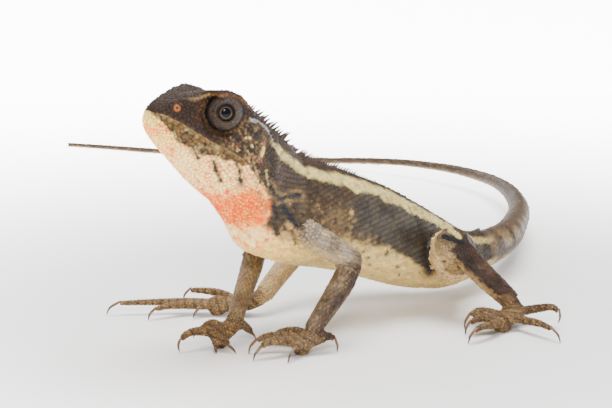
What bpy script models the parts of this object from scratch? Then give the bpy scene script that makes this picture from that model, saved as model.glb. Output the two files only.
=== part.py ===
"""An oriental garden lizard, a young adult female at life size, standing with its chest raised.

The body frame has +Z up, the snout towards -Y and the animal's left side towards +X.
Every size below is in millimetres, and the meshes are made in metres.
The head, neck, trunk and tail are one lofted form parted by thin gaps; the limbs are tubes cut to fit
the trunk, and each foot is a palm fused with its digits, with the claws as pieces of their own.
"""

import math

import bmesh
import bpy
import numpy as np
from mathutils import Matrix, Vector

MM = 0.001
GAP = 0.3  # what touching pieces keep between them

# Driving sizes of the animal
HEAD_PITCH = math.radians(25)  # how far the snout is raised
SNOUT_TIP = (-26.3, 43.6)  # y and z of the mouth line at the tip of the snout
EYE = (3.8, 13.1, 5.2)  # out from the midline, back from the snout, above the mouth line
EYE_RADIUS = 2.45
LID_RADIUS = 3.05
LID_OPENING = 1.5
GAZE = Vector((0.80, -0.57, 0.14)).normalized()  # where the left eye looks
HOLLOW = Vector((0.62, -0.76, -0.16)).normalized()  # the hollow before the eye opens this way
HOLLOW_CONE = ((0.3, 3.05), (3.6, 3.5))  # distance from the eye's middle, and the hollow's radius there
EAR = (7.0, 21.6, 1.5)
NOSTRIL = (2.75, 3.6, 2.8)
LIP_GROOVE = 0.35
MOUTH_LENGTH = 16.5

# The head's half sections: back from the snout, then height at the crown, then out and up for the
# brow, the side under it, the cheek, the lip line, the jaw and the throat's side, then the throat
HEAD = (
    (0.4, 0.9, (0.3, 0.9), (0.4, 0.7), (0.5, 0.4), (0.5, 0.1), (0.4, -0.2), (0.3, -0.4), -0.45),
    (0.8, 1.9, (0.8, 1.8), (1.2, 1.4), (1.35, 0.7), (1.35, 0.1), (1.2, -0.6), (0.8, -1.0), -1.15),
    (2.0, 3.2, (1.6, 3.0), (2.0, 2.0), (2.3, 1.0), (2.3, 0.2), (2.1, -1.0), (1.4, -1.9), -2.1),
    (3.9, 4.7, (2.4, 4.5), (2.8, 3.0), (3.3, 1.4), (3.3, 0.3), (3.1, -1.3), (2.0, -2.7), -3.0),
    (6.2, 5.9, (3.4, 6.2), (3.5, 4.1), (4.2, 1.7), (4.3, 0.3), (4.1, -1.6), (2.7, -3.4), -3.8),
    (8.8, 7.0, (4.7, 7.9), (4.3, 5.3), (5.2, 2.0), (5.3, 0.2), (5.1, -2.0), (3.4, -4.1), -4.6),
    (11.6, 7.7, (5.4, 8.8), (4.9, 5.9), (5.9, 2.3), (6.0, 0.1), (5.9, -2.3), (3.9, -4.9), -5.4),
    (14.4, 8.1, (5.4, 8.8), (5.5, 6.1), (6.5, 2.6), (6.6, 0.0), (6.5, -2.6), (4.3, -5.8), -6.4),
    (17.4, 8.0, (4.8, 7.9), (6.1, 5.6), (7.0, 2.6), (7.1, -0.2), (6.9, -3.0), (4.6, -6.7), -7.4),
    (20.4, 8.0, (4.0, 7.2), (5.8, 5.0), (6.9, 2.4), (7.0, -0.6), (6.5, -3.6), (4.4, -7.5), -8.3),
    (23.0, 7.8, (3.2, 6.9), (5.0, 4.7), (6.0, 1.9), (6.2, -1.3), (5.8, -4.6), (4.1, -8.2), -9.2),
)

# The trunk's sections: y and z on the back, y and z on the belly, half width, sharpness of the back
TRUNK = (
    ((1.1, 38.45), (-6.9, 21.5), 5.5, 1.75),
    ((4.55, 35.95), (-4.6, 18.1), 5.6, 1.65),
    ((8.0, 32.7), (0.0, 15.6), 6.2, 1.6),
    ((12.3, 30.8), (6.3, 13.4), 6.8, 1.6),
    ((17.2, 29.3), (12.9, 11.7), 7.2, 1.6),
    ((23.0, 27.0), (19.5, 9.8), 7.6, 1.65),
    ((29.2, 24.4), (26.3, 7.3), 7.8, 1.7),
    ((35.3, 21.3), (33.1, 4.9), 7.7, 1.75),
    ((40.9, 18.2), (39.5, 3.3), 7.0, 1.8),
    ((46.0, 15.3), (45.2, 2.5), 6.0, 1.85),
    ((50.8, 12.7), (50.4, 2.8), 4.9, 1.9),
)
WAIST = 0.44  # height of the widest line, from the belly up
BELLY_ROUNDNESS = 2.15

# The tail's centreline, with its radius: it swings to the right and comes down to the floor
TAIL = (
    ((0.2, 56.0, 7.5), 3.85),
    ((-1.5, 62.0, 7.2), 3.4),
    ((-5.2, 71.0, 6.9), 3.0),
    ((-11.5, 81.0, 6.5), 2.6),
    ((-20.4, 93.5, 6.1), 2.2),
    ((-30.5, 104.5, 5.6), 1.85),
    ((-40.5, 113.5, 5.1), 1.5),
    ((-49.5, 119.8, 4.7), 1.28),
    ((-58.0, 123.9, 4.3), 1.16),
    ((-66.5, 126.1, 4.1), 1.03),
    ((-75.0, 126.8, 3.8), 0.92),
    ((-84.0, 126.4, 3.4), 0.84),
    ((-94.0, 124.9, 2.6), 0.8),
    ((-104.2, 122.6, 1.6), 0.77),
    ((-117.4, 118.0, 0.72), 0.74),
    ((-131.4, 111.9, 0.66), 0.71),
    ((-145.4, 105.4, 0.63), 0.68),
    ((-158.6, 99.8, 0.6), 0.65),
    ((-169.6, 95.2, 0.55), 0.6),
)

# Where the lofted form is parted, as a station number counted from the snout
HEAD_END = len(HEAD) - 1
PARTING = {
    "head": (0, HEAD_END),
    "neck": (HEAD_END, HEAD_END + 3),
    "torso": (HEAD_END + 3, HEAD_END + 9),
    "pelvis": (HEAD_END + 9, HEAD_END + 11.5),
    "tail_1": (HEAD_END + 11.5, HEAD_END + 14),
    "tail_2": (HEAD_END + 14, HEAD_END + 17),
    "tail_3": (HEAD_END + 17, HEAD_END + 20),
    "tail_4": (HEAD_END + 20, HEAD_END + 23),
    "tail_5": (HEAD_END + 23, HEAD_END + 26),
    "tail_6": (HEAD_END + 26, HEAD_END + 30),
}
RINGS_PER_STATION = {"head": 2.6, "neck": 3, "torso": 2.4, "pelvis": 2.4}
TAIL_RINGS_PER_STATION = 2.4

# The crest: one row of spines down the midline, longest on the nape
CREST_START = HEAD_END - 1.3
CREST_PITCH = 1.3  # from spine to spine
CREST_HEIGHT = 1.5
CREST_SHORT = 0.6
CREST_LOW = 0.25
SPINE_THICKNESS = 0.6
NAPE_LENGTH = 13.0  # over which the spines keep their height
SHOULDER_LENGTH = 19.0  # where they have shrunk to the short height
CREST_LENGTH = 46.0

# Limbs: the joints of each piece in the body frame with the half thickness at each, from the root on
LIMBS = {
    "left_fore": (
        (((3.6, 3.0, 21.8), 2.7), ((7.8, 6.4, 18.8), 2.25), ((10.9, 10.6, 15.1), 2.05)),
        (((10.9, 10.9, 14.9), 2.05), ((10.8, 8.8, 11.6), 2.1), ((10.3, 5.7, 7.9), 1.85), ((9.9, 2.8, 4.7), 1.55)),
        (((9.9, 2.8, 4.2), 1.4), ((9.5, 1.2, 2.2), 1.75), ((9.1, 0.4, 1.6), 1.6)),
    ),
    "right_fore": (
        (((-3.6, 3.0, 21.8), 2.7), ((-7.2, 5.2, 18.8), 2.3), ((-9.1, 7.2, 15.0), 2.1)),
        (((-9.1, 7.4, 14.8), 2.1), ((-8.2, 5.2, 11.6), 1.95), ((-5.4, 0.5, 8.2), 1.65), ((-3.2, -3.4, 5.2), 1.45)),
        (((-3.2, -3.4, 4.9), 1.35), ((-3.4, -5.0, 3.0), 1.65), ((-3.8, -6.6, 1.9), 1.5)),
    ),
    "left_hind": (
        (((3.2, 45.4, 8.6), 4.2), ((7.0, 41.4, 10.0), 4.6), ((10.6, 37.2, 12.2), 4.3), ((13.2, 34.4, 14.4), 3.2)),
        (((13.6, 34.0, 14.8), 2.5), ((15.8, 35.2, 12.4), 2.3), ((18.2, 37.6, 8.8), 2.1), ((20.7, 40.8, 4.9), 1.85)),
        (((20.8, 41.2, 4.4), 1.6), ((22.2, 40.8, 2.5), 1.9), ((23.6, 36.0, 1.8), 1.75)),
    ),
    "right_hind": (
        (((-3.2, 45.4, 8.8), 4.2), ((-7.2, 40.2, 10.4), 4.5), ((-11.0, 33.8, 12.8), 3.9), ((-13.4, 29.4, 14.2), 2.9)),
        (((-13.7, 28.8, 14.4), 2.4), ((-14.5, 24.6, 11.8), 2.3), ((-14.4, 19.2, 7.9), 1.95), ((-14.1, 14.4, 4.4), 1.75)),
        (((-14.1, 14.2, 4.0), 1.5), ((-16.2, 12.0, 2.4), 1.85), ((-20.6, 8.4, 1.7), 1.7)),
    ),
}
LIMB_NODES = {"fore": ("upper_arm", "forearm", "hand"), "hind": ("thigh", "shank", "foot")}
FLATTENING = 0.62  # height to width of a palm at the knuckles
SPREAD = 1.3  # width of a palm to its radius at the knuckles

# Digits: the points of each from the palm to the end of its last joint, then the claw's tip
DIGITS = {
    "left_fore": (
        ((8.8, 2.2, 2.2), (6.2, 2.9, 3.0), (4.0, 1.8, 2.9), (2.4, 0.9, 2.3), (1.2, 0.3, 0.2)),
        ((8.8, 1.0, 2.2), (6.6, -0.4, 2.9), (4.8, -3.2, 3.1), (3.7, -4.9, 2.5), (3.0, -6.2, 0.15)),
        ((9.1, 0.3, 2.1), (8.2, -2.8, 2.8), (7.4, -5.7, 3.1), (7.0, -7.0, 2.4), (6.6, -8.6, 0.15)),
        ((9.5, 0.3, 1.9), (10.6, -1.6, 2.4), (11.1, -3.2, 2.1), (11.8, -5.5, 0.15)),
        ((9.8, 1.2, 2.0), (11.4, 2.7, 2.7), (12.0, 4.0, 3.2), (12.5, 4.9, 2.5), (12.9, 5.2, 0.2)),
    ),
    "right_fore": (
        ((-2.9, -5.0, 3.2), (-2.2, -2.9, 3.7), (-2.4, -1.3, 2.7), (-2.6, -0.3, 1.8), (-2.8, 1.0, 0.25)),
        ((-3.4, -6.4, 2.2), (-1.9, -7.3, 1.9), (-0.8, -7.4, 1.3), (1.2, -7.5, 0.15)),
        ((-3.6, -7.0, 2.0), (-2.8, -8.4, 1.8), (-2.3, -9.0, 1.1), (-1.2, -9.8, 0.15)),
        ((-4.2, -6.8, 2.4), (-5.3, -9.2, 3.2), (-5.9, -11.8, 3.3), (-6.4, -13.3, 2.3), (-6.4, -13.6, 0.15)),
        ((-4.0, -5.4, 2.8), (-5.6, -6.4, 4.1), (-7.0, -7.6, 3.4), (-8.4, -8.6, 1.2)),
    ),
    "left_hind": (
        ((22.9, 36.6, 2.6), (21.9, 34.3, 3.6), (21.1, 32.5, 4.0), (20.4, 31.1, 3.3), (20.0, 30.2, 0.9)),
        ((23.4, 35.4, 2.4), (23.0, 32.8, 3.0), (22.4, 30.9, 3.0), (21.9, 29.5, 2.5), (21.7, 28.5, 0.4)),
        ((24.0, 35.4, 2.0), (25.3, 31.8, 2.4), (25.6, 28.4, 2.7), (25.5, 26.6, 2.3), (25.4, 25.0, 0.15)),
        ((23.2, 39.2, 2.3), (26.4, 38.6, 2.1), (30.0, 38.1, 2.4), (33.6, 37.5, 2.2), (36.1, 37.0, 0.15)),
        ((22.4, 41.6, 2.3), (25.0, 43.6, 3.0), (28.2, 44.3, 3.8), (29.4, 44.6, 3.1), (29.2, 44.9, 0.9)),
    ),
    "right_hind": (
        ((-17.6, 10.2, 1.9), (-15.8, 8.6, 2.1), (-14.6, 7.8, 1.7), (-13.2, 7.0, 0.15)),
        ((-20.4, 8.0, 1.8), (-20.9, 5.4, 2.2), (-21.0, 4.3, 1.8), (-21.2, 3.0, 0.15)),
        ((-21.0, 8.0, 1.9), (-23.8, 4.2, 2.0), (-25.0, 0.4, 2.3), (-25.6, -2.2, 2.0), (-25.9, -3.7, 0.15)),
        ((-21.4, 8.4, 2.0), (-25.2, 4.8, 2.2), (-28.4, 1.0, 2.3), (-32.8, -4.6, 2.3), (-34.2, -6.5, 0.15)),
        ((-18.4, 11.4, 2.2), (-22.5, 11.3, 3.1), (-25.6, 9.6, 3.4), (-27.8, 8.3, 3.3), (-28.9, 7.6, 1.0)),
    ),
}
DIGIT_RADIUS = {"fore": (1.0, 0.6), "hind": (0.95, 0.55)}  # at the palm and at the claw
SOLE_SINK = 0.12  # how far the ball of a foot is cut by the floor
CLAW_RADIUS = 0.36
CLAW_CLEARANCE = 0.05  # between a claw's tip and the floor
CLAW_ARCH = 0.16  # how far a claw bows up, as a share of its length
DIGIT_NAMES = ("1", "2", "3", "4", "5")

LOOKS = {  # base colour and roughness
    "hide_dark": ((0.105, 0.078, 0.055), 0.6),
    "hide_throat": ((0.55, 0.36, 0.24), 0.6),
    "hide_limb": ((0.23, 0.18, 0.13), 0.6),
    "hide_tail": ((0.22, 0.165, 0.12), 0.6),
    "claw_horn": ((0.13, 0.065, 0.035), 0.35),
    "eye_wet": ((0.05, 0.03, 0.02), 0.08),
}


def catmull(rows, s):
    """A smooth curve through equally numbered rows, read at station number s."""
    last = len(rows) - 1
    i = min(max(int(math.floor(s)), 0), last - 1)
    t = s - i
    before = rows[i - 1] if i > 0 else 2 * rows[0] - rows[1]
    after = rows[i + 2] if i + 2 <= last else 2 * rows[last] - rows[last - 1]
    a, b = rows[i], rows[i + 1]
    return 0.5 * (
        2 * a + (b - before) * t + (2 * before - 5 * a + 4 * b - after) * t**2
        + (3 * a - before - 3 * b + after) * t**3
    )


def unit(v):
    return v / np.linalg.norm(v)


def head_point(out, back, up):
    """A point of the body frame from the head's own measures."""
    cos, sin = math.cos(HEAD_PITCH), math.sin(HEAD_PITCH)
    return np.array((out, SNOUT_TIP[0] + back * cos + up * sin, SNOUT_TIP[1] - back * sin + up * cos))


def egg(width, above, below, top_power, bottom_power):
    """Half section of six points between the top and the bottom, as out and up pairs."""
    points = [(0.0, above)]
    for k in range(1, 7):
        angle = math.pi * k / 7
        power = 2 / (top_power if angle < math.pi / 2 else bottom_power)
        rise = math.copysign(abs(math.cos(angle)) ** power, math.cos(angle))
        points.append((width * math.sin(angle) ** power, rise * (above if rise > 0 else below)))
    return points + [(0.0, -below)]


def station(centre, up, side, half):
    return np.concatenate([np.array(centre, float), up, side, np.array(half, float).ravel()])


def body_stations():
    """Every section from the snout to the tail tip, as one row each."""
    across = np.array((1.0, 0.0, 0.0))
    rows = []
    head_up = head_point(0, 0, 1) - head_point(0, 0, 0)
    for back, crown, *side, throat in HEAD:
        half = [(0.0, crown), *side, (0.0, throat)]
        rows.append(station(head_point(0, back, 0), head_up, across, half))
    for top, bottom, width, ridge in TRUNK:
        top, bottom = np.array((0.0, *top)), np.array((0.0, *bottom))
        depth = np.linalg.norm(top - bottom)
        half = egg(width, depth * (1 - WAIST), depth * WAIST, ridge, BELLY_ROUNDNESS)
        rows.append(station(bottom + WAIST * (top - bottom), unit(top - bottom), across, half))
    places = [np.array(p, float) for p, _ in TAIL]
    for i, (place, radius) in enumerate(TAIL):
        ahead = unit(places[min(i + 1, len(TAIL) - 1)] - places[max(i - 1, 0)])
        side = unit(np.cross(ahead, (0.0, 0.0, 1.0)))
        rows.append(station(place, np.cross(side, ahead), side, egg(radius, radius, radius, 2, 2)))
    return np.array(rows)


STATIONS = body_stations()


def body_ring(s, per_span, grow=0.0, groove=0.0):
    """The section at station number s: points round the body, from the back over the left side."""
    row = catmull(STATIONS, s)
    centre, up, side = row[:3], unit(row[3:6]), unit(row[6:9])
    half = row[9:].reshape(-1, 2)
    loop = np.array([*half, *[(-x, u) for x, u in half[-2:0:-1]]])
    count = len(loop)
    lip = 4
    spots = [k / per_span for k in range(count * per_span)]
    if groove:
        spots += [lip - 0.14, lip + 0.14, count - lip - 0.14, count - lip + 0.14]
    points = []
    for t in sorted(spots):
        x, u = catmull(np.array([loop[(int(t) + k) % count] for k in (-1, 0, 1, 2)]), 1 + t - int(t))
        if groove and (abs(t - lip) < 1e-6 or abs(t - count + lip) < 1e-6):
            x -= math.copysign(groove, x)
        size = math.hypot(x, u) or 1.0
        x, u = x * (1 + grow / size), u * (1 + grow / size)
        point = centre + side * x + up * u
        point[2] = max(point[2], 0.0)
        points.append(point)
    return points


def loft(rings, name="loft"):
    """A closed mesh object through rings of equal count, with flat ends."""
    count = len(rings[0])
    verts = [tuple(p * MM) for ring in rings for p in ring]
    faces = [tuple(range(count)), tuple(reversed(range((len(rings) - 1) * count, len(verts))))]
    for i in range(len(rings) - 1):
        for k in range(count):
            n = (k + 1) % count
            faces.append((i * count + n, i * count + k, (i + 1) * count + k, (i + 1) * count + n))
    mesh = bpy.data.meshes.new(name)
    mesh.from_pydata(verts, [], faces)
    mesh.update()
    obj = bpy.data.objects.new(name, mesh)
    bpy.context.scene.collection.objects.link(obj)
    if signed_volume(mesh) < 0:
        mesh.flip_normals()
    return obj


def signed_volume(mesh):
    mesh.calc_loop_triangles()
    corners = np.array([[mesh.vertices[v].co for v in t.vertices] for t in mesh.loop_triangles])
    return float(np.linalg.det(corners).sum())


def evenly(start, end, count):
    return [start + (end - start) * i / (count - 1) for i in range(count)]


def body_length(start, end, rows, steps=24):
    spots = [catmull(rows, s)[:3] for s in evenly(start, end, steps)]
    return sum(np.linalg.norm(b - a) for a, b in zip(spots, spots[1:]))


def body_part(name, grow=0.0):
    """One length of the lofted form, drawn back at both ends by half the gap."""
    start, end = PARTING[name]
    is_tail = name.startswith("tail")
    per_station = TAIL_RINGS_PER_STATION if is_tail else RINGS_PER_STATION[name]
    count = max(4, round((end - start) * per_station) + 1)
    ends = []
    for s, towards in ((start, 1), (end, -1)):
        reach = body_length(s, s + 0.2 * towards, STATIONS)
        ends.append(s + towards * 0.2 * (GAP / 2 - grow) / reach)
    if name == "head":
        ends[0] = start
    if end == len(STATIONS) - 1:
        ends[1] = end
    spots = evenly(*ends, count)
    groove = [0.0] * count
    if name == "head":
        backs = [row[0] for row in HEAD]
        for i, s in enumerate(spots):
            back = backs[min(int(s), HEAD_END - 1)]
            back += (s - min(int(s), HEAD_END - 1)) * (backs[min(int(s), HEAD_END - 1) + 1] - back)
            fade = min(1.0, max(0.0, (MOUTH_LENGTH - back) / 2.0))
            groove[i] = max(0.02, LIP_GROOVE * fade * min(1.0, 0.3 + max(back, 0.0) / 2.0))
    per_span = 1 if is_tail else 2
    rings = [body_ring(s, per_span, grow, g) for s, g in zip(spots, groove)]
    return loft(rings, name)


def tube(rows, sides, steps, grow=0.0, round_end=False, squash=None):
    """A tube along a smooth curve through rows of place and radius, with a flat or a rounded end."""
    rows = np.array([(*place, radius + grow) for place, radius in rows], float)
    rings = [tube_ring(rows, s, sides, squash) for s in evenly(0, len(rows) - 1, steps)]
    if round_end:
        ahead, radius, centre = unit(rows[-1][:3] - rows[-2][:3]), rows[-1][3], rows[-1][:3]
        for degrees in (30, 58, 80):
            share, out = math.cos(math.radians(degrees)), math.sin(math.radians(degrees))
            rings.append([centre + (p - centre) * share + ahead * radius * out for p in rings[steps - 1]])
    return loft(rings)


def tube_ring(rows, s, sides, squash=None, level=None):
    row, step = catmull(rows, s), 0.05
    ahead = unit(catmull(rows, min(s + step, len(rows) - 1))[:3] - catmull(rows, max(s - step, 0))[:3])
    across = np.cross(ahead, (0.0, 0.0, 1.0)) if level is None else level
    across = unit(across) if np.linalg.norm(across) > 0.2 else np.array((1.0, 0.0, 0.0))
    rise = unit(np.cross(across, ahead))
    across = np.cross(ahead, rise)
    wide, tall = squash(s) if squash else (1.0, 1.0)
    angles = [2 * math.pi * k / sides for k in range(sides)]
    return [
        row[:3] + row[3] * (wide * math.cos(a) * across + tall * math.sin(a) * rise) for a in angles
    ]


def ball(place, radius, sides=16, stretch=(1, 1, 1), turn=None, name="ball"):
    """A closed ball of rings about Z, stretched and turned about its place."""
    rings = []
    rows = sides // 2
    for i in range(1, rows):
        angle = math.pi * i / rows
        rings.append([
            np.array((math.sin(angle) * math.cos(2 * math.pi * k / sides),
                      math.sin(angle) * math.sin(2 * math.pi * k / sides), math.cos(angle)))
            for k in range(sides)
        ])
    matrix = np.array(turn if turn is not None else Matrix.Identity(3))
    centre = np.array(place, float)
    rings = [[centre + matrix @ (p * radius * np.array(stretch)) for p in ring] for ring in rings]
    return loft(rings, name)


def facing(direction):
    """A rotation that takes +Z to the direction."""
    return Vector((0, 0, 1)).rotation_difference(Vector(direction)).to_matrix()


def spun(place, direction, profile, sides, name="spun"):
    """A closed body turned about the direction: the profile lists how far along and how wide."""
    matrix = np.array(facing(direction))
    centre = np.array(place, float)
    rings = [
        [centre + matrix @ np.array((r * math.cos(a), r * math.sin(a), along))
         for a in (2 * math.pi * k / sides for k in range(sides))]
        for along, r in profile
    ]
    return loft(rings, name)


def combine(base, others, operation):
    """One Boolean on a collection of closed objects, applied, keeping the largest closed surface."""
    if not others:
        return base
    group = bpy.data.collections.new("others")
    for other in others:
        group.objects.link(other)
    modifier = base.modifiers.new("combine", "BOOLEAN")
    modifier.operation = operation
    modifier.operand_type = "COLLECTION"
    modifier.collection = group
    modifier.solver = "MANIFOLD"
    bpy.context.view_layer.update()
    graph = bpy.context.evaluated_depsgraph_get()
    made = bpy.data.meshes.new_from_object(base.evaluated_get(graph))
    base.modifiers.clear()
    base.data = made
    for other in others:
        bpy.data.objects.remove(other)
    bpy.data.collections.remove(group)
    keep_largest(made)
    return base


def keep_largest(mesh):
    """Drops every closed surface of the mesh but the one with the most vertices."""
    neighbours = [[] for _ in mesh.vertices]
    for edge in mesh.edges:
        a, b = edge.vertices
        neighbours[a].append(b)
        neighbours[b].append(a)
    group, sizes = [-1] * len(mesh.vertices), []
    for start in range(len(mesh.vertices)):
        if group[start] >= 0:
            continue
        stack, group[start], size = [start], len(sizes), 0
        while stack:
            v = stack.pop()
            size += 1
            for n in neighbours[v]:
                if group[n] < 0:
                    group[n] = len(sizes)
                    stack.append(n)
        sizes.append(size)
    if len(sizes) < 2:
        return
    best = sizes.index(max(sizes))
    index, verts = {}, []
    for v in mesh.vertices:
        if group[v.index] == best:
            index[v.index] = len(verts)
            verts.append(tuple(v.co))
    faces = [tuple(index[v] for v in p.vertices) for p in mesh.polygons if p.vertices[0] in index]
    mesh.clear_geometry()
    mesh.from_pydata(verts, [], faces)
    mesh.update()


def spine(root, along, rise, height, length, thickness):
    """A crest spine: a flat blade of four sides that leans back and tapers to its tip."""
    sideways = unit(np.cross(along, rise))
    rings = []
    for up, back, share in ((-0.55, 0.0, 1.0), (0.3, 0.08, 0.8), (0.75, 0.34, 0.42), (1.0, 0.62, 0.1)):
        centre = root + rise * height * up + along * height * back
        if up < 0:
            centre = root - rise * 0.6
        half, thin = length / 2 * share, thickness / 2 * max(share, 0.3)
        rings.append([centre + along * half, centre + sideways * thin, centre - along * half,
                      centre - sideways * thin])
    return loft(rings, "spine")


def crest_height(gone):
    """How tall the spines are at a distance along the back from the first of them."""
    rows = ((0.0, 0.6 * CREST_HEIGHT), (4.0, CREST_HEIGHT), (NAPE_LENGTH, CREST_HEIGHT),
            (SHOULDER_LENGTH, CREST_SHORT), (CREST_LENGTH, CREST_LOW))
    return float(np.interp(gone, [r[0] for r in rows], [r[1] for r in rows]))


def crest():
    """The spines of the midline, listed by the node that they grow from."""
    found = {"head": [], "neck": [], "torso": [], "pelvis": []}
    gone, s, step = 0.0, CREST_START, 0.01
    last, due = None, 0.0
    while gone < CREST_LENGTH:
        row = catmull(STATIONS, s)
        top = row[:3] + unit(row[3:6]) * row[10]
        if last is not None:
            gone += np.linalg.norm(top - last)
            if gone >= due:
                along = unit(top - last)
                rise = unit(np.cross((1.0, 0.0, 0.0), along))
                height = crest_height(gone)
                name = next((n for n in found if PARTING[n][0] <= s < PARTING[n][1]), None)
                if name and s - PARTING[name][0] > 0.2 and PARTING[name][1] - s > 0.2:
                    found[name].append(
                        spine(top, along, rise * (1 if rise[2] > 0 else -1), height,
                              CREST_PITCH * 0.86, SPINE_THICKNESS)
                    )
                due += CREST_PITCH
        last = top
        s += step
    return found


def mirrored(vector, side):
    return np.array((vector[0] * side, vector[1], vector[2]))


def head_with_features(spines):
    """The head with its orbits, lids, nostrils, ears, small spines over the ears and crest spines."""
    head = body_part("head")
    orbits, lids, sockets, rises, holes = [], [], [], [], []
    for side in (1, -1):
        eye = head_point(EYE[0] * side, EYE[1], EYE[2])
        out = np.array((side * 0.5, 0.0, 0.0))
        orbits.append(ball(eye + out, 3.35, 24, turn=facing((side, 0, 0))))
        orbits.append(spun(eye, mirrored(HOLLOW, side), HOLLOW_CONE, 24))
        lids.append(ball(eye, LID_RADIUS, 24, turn=facing(mirrored(GAZE, side))))
        sockets.append(ball(eye, EYE_RADIUS + GAP, 20, turn=facing(mirrored(GAZE, side))))
        sockets.append(spun(eye, mirrored(GAZE, side), ((0.5, LID_OPENING * 0.9), (4.5, LID_OPENING * 1.08)), 24))
        nostril = head_point(NOSTRIL[0] * side, NOSTRIL[1], NOSTRIL[2])
        outward = unit(np.array((side * 0.82, -0.35, 0.45)))
        rises.append(ball(nostril - outward * 0.25, 0.72, 10, turn=facing(outward)))
        holes.append(ball(nostril + outward * 0.45, 0.38, 8, turn=facing(outward)))
        ear = head_point(EAR[0] * side, EAR[1], EAR[2])
        tilt = Matrix.Rotation(-HEAD_PITCH, 3, "X")
        holes.append(ball(ear, 1.0, 12, stretch=(0.62, 0.85, 1.55), turn=tilt))
        for back, up in ((18.9, 5.3), (20.6, 4.4)):
            root = head_point(5.75 * side, back, up)
            lean = head_point(0.4 * side, 1.0, 0.35) - head_point(0, 0, 0)
            rises.append(spine(root, unit(lean), unit(np.array((side * 0.8, 0.1, 0.6))), 0.9, 0.9, 0.6))
    combine(head, orbits, "DIFFERENCE")
    combine(head, lids + rises + spines, "UNION")
    return combine(head, sockets + holes, "DIFFERENCE")


def eyeball(side):
    """The eyeball, with the clear front bulging through the opening of the lids."""
    eye = head_point(EYE[0] * side, EYE[1], EYE[2])
    profile = [(-EYE_RADIUS * math.cos(a), EYE_RADIUS * math.sin(a)) for a in evenly(0.15, 2.4, 8)]
    bulge, centre = 1.5, 1.25
    profile += [(centre + bulge * math.cos(a), bulge * math.sin(a)) for a in evenly(0.85, 0.15, 4)]
    return spun(eye, mirrored(GAZE, side), profile, 16)


def palm_shape(s):
    """Width and height of a palm to its radius, flattening towards the knuckles."""
    share = min(1.0, s / 2)
    return 1 + (SPREAD - 1) * share, 1 + (FLATTENING - 1) * share


def floor_block():
    """A block whose top is the floor, to cut the soles flat."""
    size, depth = 400.0, 20.0
    corners = [(-size, -size), (size, -size), (size, size), (-size, size)]
    return loft([[np.array((x, y, z)) for x, y in corners] for z in (-depth, 0.0)])


def digit_and_claw(points, radii):
    """A tapering digit that ends square, and the curved claw that stands off its end."""
    points = [np.array(p, float) for p in points]
    tip, end = points[-1], points[-2]
    body = points[:-1]
    count = len(body)
    thick = [radii[0] + (radii[1] - radii[0]) * i / (count - 1) for i in range(count)]
    swell = [t * (1.0 if i in (0, count - 1) else 1.06) for i, t in enumerate(thick)]
    digit = tube(list(zip(body, swell)), 8, 2 * count)
    ahead = unit(end - points[-3])
    reach = np.linalg.norm(tip - end)
    root = end + ahead * (GAP + 0.02)
    bow = root + (tip - root) * 0.5 + (ahead * 0.8 + np.array((0.0, 0.0, 0.6))) * CLAW_ARCH * reach
    rows = np.array([(*root, CLAW_RADIUS), (*bow, CLAW_RADIUS * 0.7), (*tip, 0.08)])
    level = np.cross(ahead, (0.0, 0.0, 1.0))
    rings = []
    for s in evenly(0.0, 2.0, 5):
        ring = tube_ring(rows, s, 6, level=level)
        if s == 0.0:
            ring = flat_start(ring, root, ahead)
        rings.append([np.array((p[0], p[1], max(p[2], CLAW_CLEARANCE))) for p in ring])
    return digit, loft(rings)


def flat_start(ring, root, ahead):
    """Turns a ring square to the digit, so that the claw's root faces the digit's end."""
    return [p - ahead * float(np.dot(p - root, ahead)) for p in ring]


def limb(name):
    """The three nodes of a limb and its claws, as named objects."""
    kind = name.split("_")[1]
    side = name.split("_")[0]
    upper, lower, foot = LIMB_NODES[kind]
    made = {}
    shell = ("neck", "torso") if kind == "fore" else ("torso", "pelvis")
    cutters = [body_part(n, grow=GAP) for n in shell]
    upper_rows, lower_rows, palm_rows = LIMBS[name]
    made[f"{side}_{upper}"] = combine(tube(upper_rows, 12, 8, round_end=True), cutters, "DIFFERENCE")
    joint = tube(upper_rows, 12, 8, grow=GAP, round_end=True)
    made[f"{side}_{lower}"] = combine(tube(lower_rows, 12, 8, round_end=True), [joint], "DIFFERENCE")
    palm = tube(palm_rows, 12, 5, squash=palm_shape)
    digits = []
    for number, points in zip(DIGIT_NAMES, DIGITS[name]):
        digit, claw = digit_and_claw(points, DIGIT_RADIUS[kind])
        digits.append(digit)
        made[f"{side}_{foot}_claw_{number}"] = claw
    knuckles, radius = palm_rows[-1]
    drop = (knuckles[2] + SOLE_SINK) / math.cos(math.pi / 6)
    digits.append(ball(knuckles, radius, 12, stretch=(1.1, 1.1, drop / radius)))
    combine(palm, digits, "UNION")
    ankle = tube(lower_rows, 12, 8, grow=GAP, round_end=True)
    made[f"{side}_{foot}"] = combine(palm, [ankle, floor_block()], "DIFFERENCE")
    return made


def paint(obj, look):
    """Gives the object its material, of the look's colour and roughness."""
    colour, roughness = LOOKS[look]
    material = bpy.data.materials.get(look) or bpy.data.materials.new(look)
    material.use_nodes = True
    shader = material.node_tree.nodes["Principled BSDF"]
    shader.inputs["Base Color"].default_value = (*colour, 1.0)
    shader.inputs["Roughness"].default_value = roughness
    obj.data.materials.clear()
    obj.data.materials.append(material)


def triangulate(mesh):
    """Parts every face into triangles, so that no face is left bent."""
    parted = bmesh.new()
    parted.from_mesh(mesh)
    bmesh.ops.triangulate(parted, faces=parted.faces[:])
    parted.to_mesh(mesh)
    parted.free()


def look_of(name):
    if "claw" in name:
        return "claw_horn"
    if name.startswith("eye"):
        return "eye_wet"
    if name.startswith("tail"):
        return "hide_tail"
    if name in ("head", "torso", "pelvis"):
        return "hide_dark"
    return "hide_throat" if name == "neck" else "hide_limb"


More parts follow.
